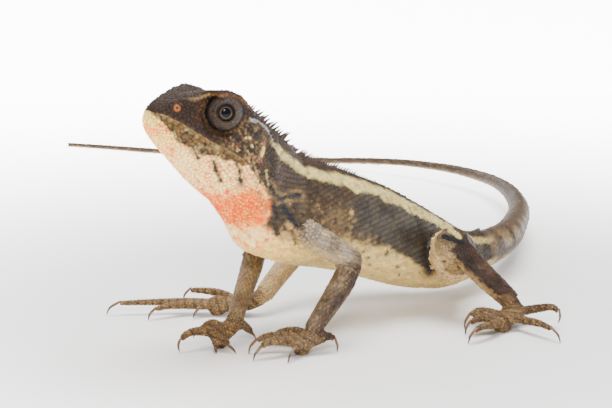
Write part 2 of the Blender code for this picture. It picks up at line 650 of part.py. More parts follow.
def centre_on_floor(objects):
    """Moves every mesh so that the origin is under the middle of the whole animal, on the floor."""
    corners = np.array([v.co for obj in objects for v in obj.data.vertices])
    low, high = corners.min(axis=0), corners.max(axis=0)
    shift = Vector((-(low[0] + high[0]) / 2, -(low[1] + high[1]) / 2, -low[2]))
    for obj in objects:
        obj.data.transform(Matrix.Translation(shift))


def main():
    for obj in list(bpy.data.objects):
        bpy.data.objects.remove(obj)
    spines = crest()
    made = {"head": head_with_features(spines["head"])}
    for name in PARTING:
        if name != "head":
            made[name] = combine(body_part(name), spines.get(name, []), "UNION")
    made["eye_left"], made["eye_right"] = eyeball(1), eyeball(-1)
    for name in LIMBS:
        made.update(limb(name))
    for name, obj in made.items():
        obj.name = name
        obj.data.name = name
        triangulate(obj.data)
        obj.data.shade_smooth()
        obj.data.set_sharp_from_angle(angle=math.radians(50))
        paint(obj, look_of(name))
    centre_on_floor(list(made.values()))


main()
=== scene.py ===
"""Looks of a still, life-size garden lizard: one hide with its scales, lids, crest, eyes and claws."""

import math

import bmesh
import bpy
import numpy as np
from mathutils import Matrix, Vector
from mathutils.bvhtree import BVHTree
from mathutils.kdtree import KDTree


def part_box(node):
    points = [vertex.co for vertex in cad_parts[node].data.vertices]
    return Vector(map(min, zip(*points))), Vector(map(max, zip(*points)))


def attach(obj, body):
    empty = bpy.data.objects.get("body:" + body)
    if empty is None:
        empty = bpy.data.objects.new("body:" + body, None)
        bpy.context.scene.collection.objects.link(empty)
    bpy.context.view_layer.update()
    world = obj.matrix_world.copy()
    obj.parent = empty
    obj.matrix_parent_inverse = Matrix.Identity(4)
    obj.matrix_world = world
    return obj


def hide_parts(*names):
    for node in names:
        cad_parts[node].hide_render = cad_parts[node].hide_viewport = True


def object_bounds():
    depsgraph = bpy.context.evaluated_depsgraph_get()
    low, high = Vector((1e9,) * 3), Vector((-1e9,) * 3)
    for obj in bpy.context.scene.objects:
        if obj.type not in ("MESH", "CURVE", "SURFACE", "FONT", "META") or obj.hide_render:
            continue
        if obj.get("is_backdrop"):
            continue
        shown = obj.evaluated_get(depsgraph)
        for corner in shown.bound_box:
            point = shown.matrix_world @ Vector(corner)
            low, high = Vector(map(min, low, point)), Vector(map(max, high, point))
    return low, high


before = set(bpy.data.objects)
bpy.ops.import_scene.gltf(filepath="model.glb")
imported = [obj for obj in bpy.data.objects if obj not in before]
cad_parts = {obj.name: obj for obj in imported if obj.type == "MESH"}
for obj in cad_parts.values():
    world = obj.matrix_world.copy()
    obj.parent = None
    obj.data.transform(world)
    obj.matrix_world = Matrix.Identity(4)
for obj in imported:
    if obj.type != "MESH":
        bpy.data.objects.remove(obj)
cad_low, cad_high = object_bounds()


# Room: a wide pale floor that shines softly in the distance, a dome of light, one large lamp overhead, a
# weaker one from the far side, a small one above the camera that glints in the eye, and a low camera before
# the animal's left shoulder.
MM = 0.001
SNOUT_AHEAD = 26.13  # mm, from the snout's tip to the nape, where the body's own frame starts
head_low, head_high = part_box("head")
ORIGIN = np.array(((head_low.x + head_high.x) / 2, head_low.y + SNOUT_AHEAD * MM, 0.0))
FLOOR_HALF = 1.6
FLOOR_TONES = ((0.93, 0.93, 0.93, 1), (0.95, 0.95, 0.95, 1))
FLOOR_GRAIN = 90.0  # blotches of tone to the metre, about
FLOOR_ROUGHNESS = 0.62
CAMERA_PLACE = (274.93, -264.32, 106.0)  # mm in the body's frame
CAMERA_TURN = (78.0, 0.0, 45.0)  # degrees
CAMERA_LENS = 134.0
TO_CAMERA = (0.707, -0.707, 0.0)
LAMPS = (
    # name, place in mm, width in mm, watts, colour
    ("overhead lamp", (40, 60, 600), 420, 7.3, (1.0, 0.985, 0.96)),
    ("far lamp", (-420, 220, 300), 420, 1.7, (0.93, 0.96, 1.0)),
    ("front lamp", (372, -348, 296), 100, 2.3, (1.0, 0.99, 0.97)),
)
LAMP_AIM = (0, 25, 15)  # mm
SKY_COLOUR = (0.97, 0.985, 1.0, 1)
SKY_STRENGTH = 0.42
GLOW = 11.0  # how brightly the far floor shines, for a high-key backdrop
GLOW_MIDDLE = (0, 30, 0)  # mm, the animal's middle
GLOW_FROM = 0.04  # metres from it
GLOW_FULL = 0.28
GLOW_NEAR = (0.03, 0.45)  # metres on the camera's side of the animal, over which the shine ends


def placed(points):
    """Points of the body's frame, in mm, as points of the scene, in metres."""
    return np.asarray(points, dtype=float) * MM + ORIGIN


class Socket:
    """A node's output, on which Python's operators build Math nodes."""

    def __init__(self, tree, out):
        self.tree = tree
        self.out = out

    def node(self, kind, inputs=(), out=0, **settings):
        """Adds a node with its settings and its sockets' values or links, and wraps one of its outputs."""
        made = self.tree.nodes.new("ShaderNode" + kind)
        for name, value in settings.items():
            setattr(made, name, value)
        for key, value in dict(inputs).items():
            if isinstance(value, Socket):
                self.tree.links.new(value.out, made.inputs[key])
            else:
                made.inputs[key].default_value = value
        return Socket(self.tree, made.outputs[out])

    def maths(self, operation, *values):
        """A Math node of this value and others."""
        return self.node("Math", dict(enumerate((self,) + values)), operation=operation)

    def __add__(self, other):
        return self.maths("ADD", other)

    __radd__ = __add__

    def __mul__(self, other):
        return self.maths("MULTIPLY", other)

    __rmul__ = __mul__

    def __sub__(self, other):
        return self.maths("SUBTRACT", other)

    def __rsub__(self, other):
        return self * -1.0 + other

    def __pow__(self, other):
        return self.maths("POWER", other)

    def between(self, low, high):
        """0 below low, 1 above high, with a soft step."""
        limits = {"Value": self, "From Min": low, "From Max": high}
        return self.node("MapRange", limits, interpolation_type="SMOOTHSTEP")

    def mix(self, low, high):
        """A colour that goes from low to high with this value."""
        return self.node("Mix", {"Factor": self, 6: low, 7: high}, out=2, data_type="RGBA")

    def times(self, colour):
        """This colour multiplied by another, or by a grey value."""
        pair = {"Factor": 1.0, 6: self, 7: colour}
        return self.node("Mix", pair, out=2, data_type="RGBA", blend_type="MULTIPLY")


def material(name):
    """A new Principled material: its shader node, and a socket of Object coordinates to build on."""
    made = bpy.data.materials.new(name)
    made.use_nodes = True
    shader = made.node_tree.nodes["Principled BSDF"]
    start = Socket(made.node_tree, None)
    return made, shader, start.node("TexCoord", out="Object")


def link(shader, name, value):
    """Feeds a socket of the shader from a link, or sets its constant."""
    if isinstance(value, Socket):
        value.tree.links.new(value.out, shader.inputs[name])
    else:
        shader.inputs[name].default_value = value


def shown(name, data):
    """An object at the origin that carries a mesh, a lamp or a camera."""
    made = bpy.data.objects.new(name, data)
    bpy.context.collection.objects.link(made)
    return made


def finished(name, builder, stuff):
    """An object at the origin from a bmesh, with its faces smooth and one material."""
    mesh = bpy.data.meshes.new(name)
    builder.to_mesh(mesh)
    builder.free()
    mesh.shade_smooth()
    mesh.materials.append(stuff)
    return shown(name, mesh)


floor_stuff, floor_shader, floor_place = material("pale floor")
floor_grain = floor_place.node("TexNoise", {"Vector": floor_place, "Scale": FLOOR_GRAIN, "Detail": 4.0})
link(floor_shader, "Base Color", floor_grain.mix(*FLOOR_TONES))
link(floor_shader, "Roughness", FLOOR_ROUGHNESS)
from_middle = {0: floor_place, 1: tuple(placed(GLOW_MIDDLE))}
floor_reach = floor_place.node("VectorMath", from_middle, operation="DISTANCE", out=1)
floor_away = floor_place.node("VectorMath", from_middle, operation="SUBTRACT")
to_camera = {0: floor_away, 1: TO_CAMERA}
floor_near = floor_away.node("VectorMath", to_camera, operation="DOT_PRODUCT", out=1)
floor_glow = floor_reach.between(GLOW_FROM, GLOW_FULL) * (1.0 - floor_near.between(*GLOW_NEAR))
link(floor_shader, "Emission Color", floor_glow.mix((0, 0, 0, 1), (1, 1, 1, 1)))
link(floor_shader, "Emission Strength", GLOW)
floor_build = bmesh.new()
bmesh.ops.create_grid(floor_build, x_segments=1, y_segments=1, size=FLOOR_HALF)
floor = finished("floor", floor_build, floor_stuff)
floor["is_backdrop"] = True

sky = bpy.data.worlds.new("soft dome")
sky.use_nodes = True
sky_light = sky.node_tree.nodes["Background"].inputs
sky_light["Color"].default_value = SKY_COLOUR
sky_light["Strength"].default_value = SKY_STRENGTH
bpy.context.scene.world = sky

aim = Vector(placed(LAMP_AIM))
for name, place, width, watts, colour in LAMPS:
    light = bpy.data.lights.new(name, "AREA")
    light.size = width * MM
    light.energy = watts
    light.color = colour
    lamp = shown(name, light)
    lamp.location = placed(place)
    lamp.rotation_euler = (aim - lamp.location).to_track_quat("-Z", "Y").to_euler()

lens = bpy.data.cameras.new("camera")
lens.lens = CAMERA_LENS
lens.clip_start = 0.02
camera = shown("camera", lens)
camera.location = placed(CAMERA_PLACE)
camera.rotation_euler = [math.radians(a) for a in CAMERA_TURN]
bpy.context.scene.camera = camera


# Body lines: the trunk's back and belly, the tail's middle and the joints of the limbs, all in mm in the
# body's frame, whose forward is -Y, left +X and up +Z. Every marking and every row of scales reads them.
TRUNK = np.array((
    # y and z on the back, y and z on the belly
    (1.1, 38.45, -6.9, 21.5),
    (4.55, 35.95, -4.6, 18.1),
    (8.0, 32.7, 0.0, 15.6),
    (12.3, 30.8, 6.3, 13.4),
    (17.2, 29.3, 12.9, 11.7),
    (23.0, 27.0, 19.5, 9.8),
    (29.2, 24.4, 26.3, 7.3),
    (35.3, 21.3, 33.1, 4.9),
    (40.9, 18.2, 39.5, 3.3),
    (46.0, 15.3, 45.2, 2.5),
    (50.8, 12.7, 50.4, 2.8),
    (55.6, 11.3, 55.8, 3.7),
))
TAIL_LINE = np.array((
    # the tail's middle and its radius
    (0.6, 52.0, 7.6, 4.3),
    (0.2, 56.0, 7.5, 3.85),
    (-1.5, 62.0, 7.2, 3.4),
    (-5.2, 71.0, 6.9, 3.0),
    (-11.5, 81.0, 6.5, 2.6),
    (-20.4, 93.5, 6.1, 2.2),
    (-30.5, 104.5, 5.6, 1.85),
    (-40.5, 113.5, 5.1, 1.5),
    (-49.5, 119.8, 4.7, 1.28),
    (-58.0, 123.9, 4.3, 1.16),
    (-75.0, 126.8, 3.8, 0.92),
    (-94.0, 124.9, 2.6, 0.8),
    (-104.2, 122.6, 1.6, 0.77),
    (-117.4, 118.0, 0.72, 0.74),
    (-145.4, 105.4, 0.63, 0.68),
    (-169.6, 95.2, 0.55, 0.6),
))
LIMB_LINES = {
    "left fore": ((3.6, 3.0, 21.8), (10.9, 10.7, 15.0), (9.9, 2.8, 4.4), (9.1, 0.0, 1.6)),
    "right fore": ((-3.6, 3.0, 21.8), (-9.1, 7.3, 14.9), (-3.2, -3.4, 5.0), (-3.8, -6.8, 1.9)),
    "left hind": ((3.2, 45.4, 8.6), (13.3, 34.2, 14.6), (20.7, 41.0, 4.7), (23.6, 36.0, 1.8)),
    "right hind": ((-3.2, 45.4, 8.8), (-13.6, 29.0, 14.5), (-14.1, 14.3, 4.2), (-20.6, 8.4, 1.7)),
}
TRUNK_STEPS = 12  # points of the fine line to each row of TRUNK
TAIL_STEPS = 8  # likewise, to each row of TAIL_LINE
LIMB_NODES = {"fore": ("upper_arm", "forearm", "hand"), "hind": ("thigh", "shank", "foot")}
SNOUT_TIP = np.array((0.0, -26.3, 43.6))
HEAD_BACK = np.array((0.0, 0.906, -0.4226))
HEAD_UP = np.array((0.0, 0.4226, 0.906))
EYE = (3.8, 13.1, 5.2)  # across, back from the snout, above the mouth line
EAR = (6.5, 21.7, 1.4)
NOSTRIL = (3.0, 3.6, 2.75)


def smooth_line(rows, steps):
    """A Catmull-Rom line through rows of numbers, with steps points to each of its stretches."""
    rows = np.asarray(rows, dtype=float)
    padded = np.vstack((2 * rows[0] - rows[1], rows, 2 * rows[-1] - rows[-2]))
    t = np.linspace(0, 1, steps, endpoint=False)[:, None]
    out = []
    for a, b, c, d in zip(padded[:-3], padded[1:-2], padded[2:-1], padded[3:]):
        bend = (2 * a - 5 * b + 4 * c - d) * t**2
        twist = (3 * b - a - 3 * c + d) * t**3
        out.append(0.5 * (2 * b + (c - a) * t + bend + twist))
    return np.vstack(out + [rows[-1:]])


def step(low, high, value):
    """0 below low, 1 above high, with a soft step between."""
    t = np.clip((value - low) / (high - low), 0, 1)
    return t * t * (3 - 2 * t)


def band(low, high, soft, value):
    """1 between low and high, 0 outside, with soft sides."""
    return step(low - soft, low + soft, value) * (1 - step(high - soft, high + soft, value))


def unit(vectors):
    """Directions of length 1."""
    return vectors / np.maximum(np.linalg.norm(vectors, axis=-1, keepdims=True), 1e-9)


NOISE_CELLS = 32
noise_lattice = np.random.default_rng(11).random((NOISE_CELLS, NOISE_CELLS, NOISE_CELLS))


def noise(points, size, shift=0.0):
    """Smooth noise from 0 to 1 whose blotches are about size mm across."""
    q = points / size + shift
    whole = np.floor(q).astype(int)
    part = q - whole
    part = part * part * (3 - 2 * part)
    total = np.zeros(len(q))
    for corner in range(8):
        bits = np.array((corner & 1, corner >> 1 & 1, corner >> 2 & 1))
        weight = np.prod(np.where(bits, part, 1 - part), axis=1)
        x, y, z = ((whole + bits) % NOISE_CELLS).T
        total += weight * noise_lattice[x, y, z]
    return total


def lengths_along(line):
    """Length along a line of points to each of them."""
    return np.concatenate(((0,), np.cumsum(np.linalg.norm(np.diff(line, axis=0), axis=1))))


def at_length(line, lengths, walked):
    """The places at some lengths along a line of points."""
    return np.stack([np.interp(walked, lengths, line[:, i]) for i in range(3)], axis=-1)


def head_place(points):
    """Across, back along the head, and above its mouth line."""
    away = points - SNOUT_TIP
    return np.abs(points[:, 0]), away @ HEAD_BACK, away @ HEAD_UP


def from_head(across, back, above):
    """The place in the body's frame of one on the head."""
    return SNOUT_TIP + np.array((across, 0.0, 0.0)) + back * HEAD_BACK + above * HEAD_UP


trunk_fine = smooth_line(TRUNK, TRUNK_STEPS)
trunk_height = np.hypot(trunk_fine[:, 0] - trunk_fine[:, 2], trunk_fine[:, 1] - trunk_fine[:, 3])
trunk_up = (trunk_fine[:, :2] - trunk_fine[:, 2:]) / trunk_height[:, None]
tail_fine = smooth_line(TAIL_LINE, TAIL_STEPS)
tail_lengths = lengths_along(tail_fine[:, :3])


def trunk_place(points):
    """Station along the trunk, in rows of TRUNK, and height in it from 0 on the belly to 1 on the back."""
    away = points[:, None, 1:] - trunk_fine[None, :, 2:]
    up = np.clip(np.einsum("nkc,kc->nk", away, trunk_up), 0, trunk_height)
    gap = np.linalg.norm(away - up[:, :, None] * trunk_up[None], axis=2)
    near = gap.argmin(axis=1)
    rows = np.arange(len(points))
    height = np.einsum("nc,nc->n", away[rows, near], trunk_up[near]) / trunk_height[near]
    return near / TRUNK_STEPS, height


def along_line(points, line):
    """Length along a line of points to the place nearest each point, and the distance to it."""
    best = np.full(len(points), np.inf)
    place = np.zeros(len(points))
    done = 0.0
    for a, b in zip(line[:-1], line[1:]):
        reach = np.linalg.norm(b - a)
        t = np.clip((points - a) @ (b - a) / reach**2, 0, 1)
        gap = np.linalg.norm(points - a - t[:, None] * (b - a), axis=1)
        nearer = gap < best
        best[nearer] = gap[nearer]
        place[nearer] = done + t[nearer] * reach
        done += reach
    return place, best


def head_gap(place, across, back, above):
    """Distance from a place on the head, such as EYE, to points given on it."""
    away = (across - place[0], back - place[1], above - place[2])
    return np.linalg.norm(np.stack(away, axis=1), axis=1)


def folded(points):
    """The points with those of the right side mirrored onto the left."""
    mirror = points * 1.0
    mirror[:, 0] = np.abs(mirror[:, 0])
    return mirror


def body_points(verts):
    """Blender's vertices as points in mm in the body's frame."""
    return (np.array([v.co[:] for v in verts]) - ORIGIN) / MM


def node_arrays(name):
    """A CAD node's merged mesh: its points in mm in the body's frame, and its triangles."""
    build = bmesh.new()
    build.from_mesh(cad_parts[name].data)
    bmesh.ops.remove_doubles(build, verts=build.verts[:], dist=1e-6)
    bmesh.ops.triangulate(build, faces=build.faces[:])
    verts = body_points(build.verts)
    tris = np.array([[v.index for v in f.verts] for f in build.faces])
    build.free()
    return verts, tris


def point_normals(verts, faces):
    """Normals at the points of a mesh whose faces all have the same number of corners."""
    face = np.cross(verts[faces[:, 1]] - verts[faces[:, 0]], verts[faces[:, -1]] - verts[faces[:, 0]])
    total = np.zeros_like(verts)
    for corner in faces.T:
        for axis in range(3):
            total[:, axis] += np.bincount(corner, face[:, axis], len(verts))
    return unit(total)


# Markings: pigment in the scales, with painted shade in the socket round each eye and a painted shadow on the
# flank before each thigh. A dark back and a cream stripe on each side of it, an ochre flank that turns slate
# grey behind, a tan belly, a brown head with an ochre jaw, a pale throat flushed with orange dots, blue-black
# marks before the shoulder, grey upper arms, brown limbs and a brown tail with faint bands.
DARK = np.array((0.020, 0.015, 0.013))
BACK = np.array((0.033, 0.019, 0.0115))
OLIVE = np.array((0.056, 0.036, 0.0175))
SLATE = np.array((0.050, 0.041, 0.031))
OCHRE = np.array((0.27, 0.165, 0.060))
RUST = np.array((0.150, 0.056, 0.020))
STRIPE = np.array((0.53, 0.415, 0.158))
BELLY = np.array((0.60, 0.415, 0.142))
BREAST = np.array((0.84, 0.56, 0.155))
THROAT = np.array((0.98, 0.635, 0.245))
FLUSH = np.array((0.95, 0.26, 0.014))
ORANGE = np.array((0.95, 0.105, 0.004))
HEAD_TOP = np.array((0.030, 0.0155, 0.0095))
LOREAL = np.array((0.026, 0.013, 0.008))
JAW_OCHRE = np.array((0.125, 0.066, 0.017))
CHEEK = np.array((0.070, 0.038, 0.018))
BLUE_BLACK = np.array((0.011, 0.011, 0.014))
ASH = np.array((0.30, 0.30, 0.27))
LILAC = np.array((0.24, 0.185, 0.140))
LIMB = np.array((0.125, 0.083, 0.048))
LIMB_PALE = np.array((0.50, 0.34, 0.155))
TAIL_BROWN = np.array((0.063, 0.038, 0.022))
PURPLE = np.array((0.046, 0.025, 0.017))
LEFT_HAND_TINT = np.array((1.55, 1.45, 1.25))  # times LIMB
TOES_TINT = np.array((1.25, 1.05, 0.8))
# The mouth's line and the lower edge of the jaw's ochre band: back along the head, and above its mouth line
MOUTH_LINE = ((0.0, 1.3, 2.4, 5.1, 8.2, 10.4, 13.1, 16.6, 19.0),
              (0.5, 0.8, 0.9, 0.55, -0.1, -0.45, -0.65, -1.1, -1.3))
JAW_EDGE = ((0.0, 1.5, 3.9, 6.7, 8.7, 11.6, 15.2, 19.5, 22.3, 24.7, 27.2, 28.7, 29.3, 32.0, 35.0, 38.0, 42.0),
            (0.7, 0.0, -1.5, -2.4, -2.8, -2.9, -2.4, -1.8, -2.5, -3.3, -4.6, -6.9, -9.2, -10.2, -11.0, -11.5,
             -12.5))
# The canthus: the ridge from the nostril over the eye, again back and above
CANTHUS = ((0, 3.4, 6.1, 8.7, 11.2, 15.3, 19), (3.0, 4.1, 5.2, 6.8, 7.6, 8.2, 7.0))
# The cream stripe's edges and the belly's edge: station along the trunk, and height in it
STRIPE_TOP = ((0.0, 0.92, 1.67, 2.58, 3.33, 4.0, 4.5, 5.2, 5.75, 8.3, 10.9),
              (0.865, 0.855, 0.895, 0.912, 0.916, 0.926, 0.92, 0.935, 0.935, 0.925, 0.90))
STRIPE_FOOT = ((0.0, 0.42, 1.0, 1.58, 2.33, 2.75, 3.5, 3.92, 4.25,
                4.67, 5.25, 5.42, 6.0, 6.42, 6.83, 7.33, 8.3, 10.9),
               (0.80, 0.77, 0.778, 0.80, 0.817, 0.829, 0.837, 0.826, 0.792,
                0.82, 0.848, 0.785, 0.815, 0.79, 0.807, 0.80, 0.79, 0.76))
BELLY_EDGE = ((0.0, 1.0, 2.0, 3.0, 3.83, 4.17, 4.58, 5.0, 5.42, 5.83, 6.42, 7.08, 9.0, 11.0),
              (0.05, 0.14, 0.20, 0.28, 0.33, 0.32, 0.30, 0.325, 0.345, 0.315, 0.293, 0.26, 0.30, 0.36))
STRIPE_START = (-3.4, 0.0)  # y over which the stripe begins on the neck
STRIPE_FADE = (49, 54)  # y over which the stripe and the olive flecks on it weaken
TAIL_BLEND = (52.5, 62.0)  # y over which the tail's colours take over
# Marks: places in mm on the left side, laid on both
BELLY_DOTS = ((6.8, 18.1, 14.8), (6.4, 19.6, 13.4), (5.6, 20.8, 11.7), (7.2, 23.5, 13.5), (6.6, 27.1, 10.4),
              (6.6, 33.0, 8.3), (5.5, 28.8, 8.5), (6.2, 37.0, 8.2), (5.4, 2.8, 18.5))
FLANK_DOTS = ((5.6, 1.1, 26.1), (5.6, -0.3, 25.6), (6.6, 15.3, 22.0))
YELLOW_SPOT = (5.6, 0.9, 20.8)  # behind the arm
CRESCENT = ((5.5, -3.3, 29.4), (5.5, -2.7, 27.9), (5.5, -1.0, 26.8), (5.5, 1.5, 27.0), (5.4, 3.7, 26.7))
SHOULDER_BAND = ((5.6, -0.6, 25.6), (5.7, -0.1, 24.7), (5.8, 1.1, 23.2), (6.6, 2.4, 21.6))
THROAT_BAR = ((5.4, -2.7, 26.1), (5.35, -1.7, 23.2))
NECK_PALE = ((5.8, -4.6, 32.2), (5.7, -4.3, 31.0), (5.6, -3.9, 29.9))
# painted shadow: a dark band down the flank in front of each thigh
THIGH_SHADE = ((6.9, 33.4, 16.4), (7.4, 33.2, 14.3), (7.7, 33.2, 12.2), (7.5, 34.0, 10.2), (6.7, 35.6, 7.9))
THIGH_STREAK = ((7.0, 40.2, 14.6), (10.6, 36.4, 16.6), (13.8, 33.2, 17.1), (15.6, 33.6, 16.3))
THIGH_BAR = ((13.1, 32.0, 16.3), (14.0, 32.0, 16.3), (15.4, 32.6, 15.8), (16.1, 33.9, 15.2))
THIGH_DOTS = ((12.8, 32.7, 11.5), (16.0, 32.7, 12.8), (11.6, 34.3, 9.4))
# Marks of the head: across, back and above
EYE_LINE = ((6.2, 17.2, 5.6), (5.1, 20.9, 5.8), (4.2, 23.6, 5.5), (3.6, 25.8, 4.5))
JAW_SPOTS = ((2.9, 4.1, -1.9), (3.3, 3.9, -0.1), (3.2, 3.9, -0.9), (4.0, 6.6, -2.1), (4.3, 6.2, -0.5),
             (5.5, 9.5, -1.2), (6.4, 13.5, 0.9))
THROAT_DASHES = (
    ((4.6, 8.7, -2.8), (4.5, 10.0, -3.6)),
    ((5.6, 12.5, -3.3), (5.3, 14.1, -4.6)),
    ((5.2, 15.0, -5.1), (5.0, 16.0, -5.7)),
    ((6.9, 16.7, -2.4), (6.6, 18.2, -3.7)),
    ((6.4, 18.7, -4.3), (6.0, 19.9, -5.0)),
    ((7.0, 20.0, -1.5), (6.7, 21.2, -2.3)),
    ((6.5, 21.9, -2.4), (5.9, 24.0, -3.3)),
    ((7.1, 18.0, -0.1), (7.1, 18.7, -0.5)),
    ((5.9, 24.6, -5.0), (5.8, 25.6, -6.0)),
    ((5.6, 26.6, -6.4), (5.5, 27.6, -7.6)),
)
CHEEK_DARK = ((6.7, 18.9, 3.4), (6.9, 17.4, 3.9), (6.6, 20.0, 4.4), (6.9, 15.2, 1.6), (7.0, 18.0, 0.6))
CHEEK_PALE = ((7.0, 16.6, 2.2), (7.1, 18.3, 1.5), (6.9, 15.8, -0.2), (7.0, 17.4, 2.6))


def lay(base, colour, mask):
    """Paints a colour over base colours where the mask is 1."""
    return base + (colour - base) * np.clip(mask * np.ones(len(base)), 0, 1)[:, None]


def stroke(points, colours, colour, path, half, soft=0.25):
    """Lays a line of some half width, in mm, along a path on both sides of the body."""
    _, gap = along_line(folded(points), np.array(path))
    gap += 0.5 * half * (noise(points, 0.8, 3.1) - 0.5)
    return lay(colours, colour, 1 - step(half - soft * half, half + soft * half, gap))


def dots(points, colours, colour, places, radius):
    """Lays soft round marks of some radius, in mm, on both sides."""
    mirror = folded(points)
    wobble = radius * (noise(points, 0.7, 3.1) - 0.5)
    for place in places:
        gap = np.linalg.norm(mirror - np.array(place), axis=1) + wobble
        colours = lay(colours, colour, 1 - step(radius * 0.7, radius * 1.15, gap))
    return colours


def limb_colours(points, rise, key):
    """Colours of one limb, with its place along the joints read from the limb's line."""
    line = np.array(LIMB_LINES[key])
    side = 1 if key.startswith("left") else -1
    place, _ = along_line(points, line)
    walked = lengths_along(line)
    first, second = walked[1], walked[2]
    fine = noise(points, 0.6, 3.7)
    speck = noise(points, 0.42, 7.7)
    blotch = noise(points, 1.8, 9.1)
    middle = at_length(line, walked, place)
    away = unit(points - middle + 1e-9)
    colours = np.tile(LIMB, (len(points), 1))
    upper = 1 - step(first - 0.6, first + 0.6, place)
    toes = step(second + 0.3, second + 2.0, place)
    shank = (1 - upper) * (1 - toes)
    if "hind" in key:
        front = step(-0.25, 0.1, away @ unit(np.array((-0.45 * side, -0.70, -0.55))) + 0.25 * (blotch - 0.5))
        colours = lay(colours, PURPLE, 0.7 * upper * (1 - front))
        colours = lay(colours, LIMB_PALE * 1.42, upper * front)
        blots = step(0.70, 0.78, fine) * step(0.5, 0.7, blotch)
        colours = lay(colours, DARK, 0.7 * upper * blots * (1 - front))
        colours = lay(colours, PURPLE, shank)
        colours = lay(colours, PURPLE * 1.9, shank * 0.6 * step(0.60, 0.75, noise(points, 1.1, 2.9)))
        colours = lay(colours, DARK, shank * 0.6 * step(0.56, 0.68, blotch))
        under = step(0.42, 0.62, away @ unit(np.array((-0.35 * side, -0.60, -0.70))) + 0.3 * (fine - 0.5))
        colours = lay(colours, LIMB_PALE, shank * under * (1 - step(first + 0.5, first + 4.0, place)))
        colours = lay(colours, OCHRE * 1.5, shank * under * 0.8 * step(first + 0.5, first + 4.0, place))
        colours = lay(colours, PURPLE * 1.2, band(second - 0.6, second + 1.6, 0.6, place) * 0.7)
    else:
        colours = lay(colours, LILAC, upper)
        colours = lay(colours, BACK * 1.6, 0.55 * upper * step(0.60, 0.72, blotch))
        colours = lay(colours, STRIPE * 0.9, 0.5 * upper * step(0.60, 0.74, speck))
        above = step(-0.1, 0.5, away[:, 2] + 0.4 * (fine - 0.5))
        colours = lay(colours, LIMB * 1.35, shank * above * 0.85)
        colours = lay(colours, PURPLE * 1.1, shank * (1 - above) * 0.9)
        colours = lay(colours, BACK * 1.3, shank * 0.55 * step(0.5, 0.65, blotch))
        colours = lay(colours, STRIPE * 0.8, shank * 0.3 * step(0.66, 0.78, speck))
        colours = lay(colours, PURPLE * 1.2, band(second - 5.0, second - 0.8, 1.2, place) * 0.45)
        low = 1 - step(-0.75, 0.0, rise)
        colours = lay(colours, LIMB_PALE, 0.6 * low * upper)
    clear = 0.95 if "hind" in key else 0.6
    colours = lay(colours, DARK, 0.4 * (1 - toes) * step(0.64, 0.76, fine) * (1 - clear * upper))
    if key == "right fore":
        colours = lay(colours, LIMB_PALE * 0.7, 0.3)
    if key == "right hind":
        colours = lay(colours, LIMB_PALE * 1.2, 0.65)
    if key == "left hind":
        colours = stroke(points, colours, STRIPE * 1.1, THIGH_STREAK, 0.55)
        colours = stroke(points, colours, BLUE_BLACK, THIGH_BAR, 0.5)
        colours = dots(points, colours, DARK, THIGH_DOTS, 0.36)
    tint = LEFT_HAND_TINT if key == "left fore" else TOES_TINT
    colours = lay(colours, LIMB * tint, toes * 0.85)
    rings = 0.5 + 0.5 * np.sin(np.linalg.norm(points - line[2], axis=1) * 4.3 + 2.5 * blotch)
    colours = lay(colours, OCHRE * 1.4, 0.6 * toes * step(0.55, 0.7, speck))
    return lay(colours, DARK, 0.5 * toes * step(0.72, 0.92, rings))


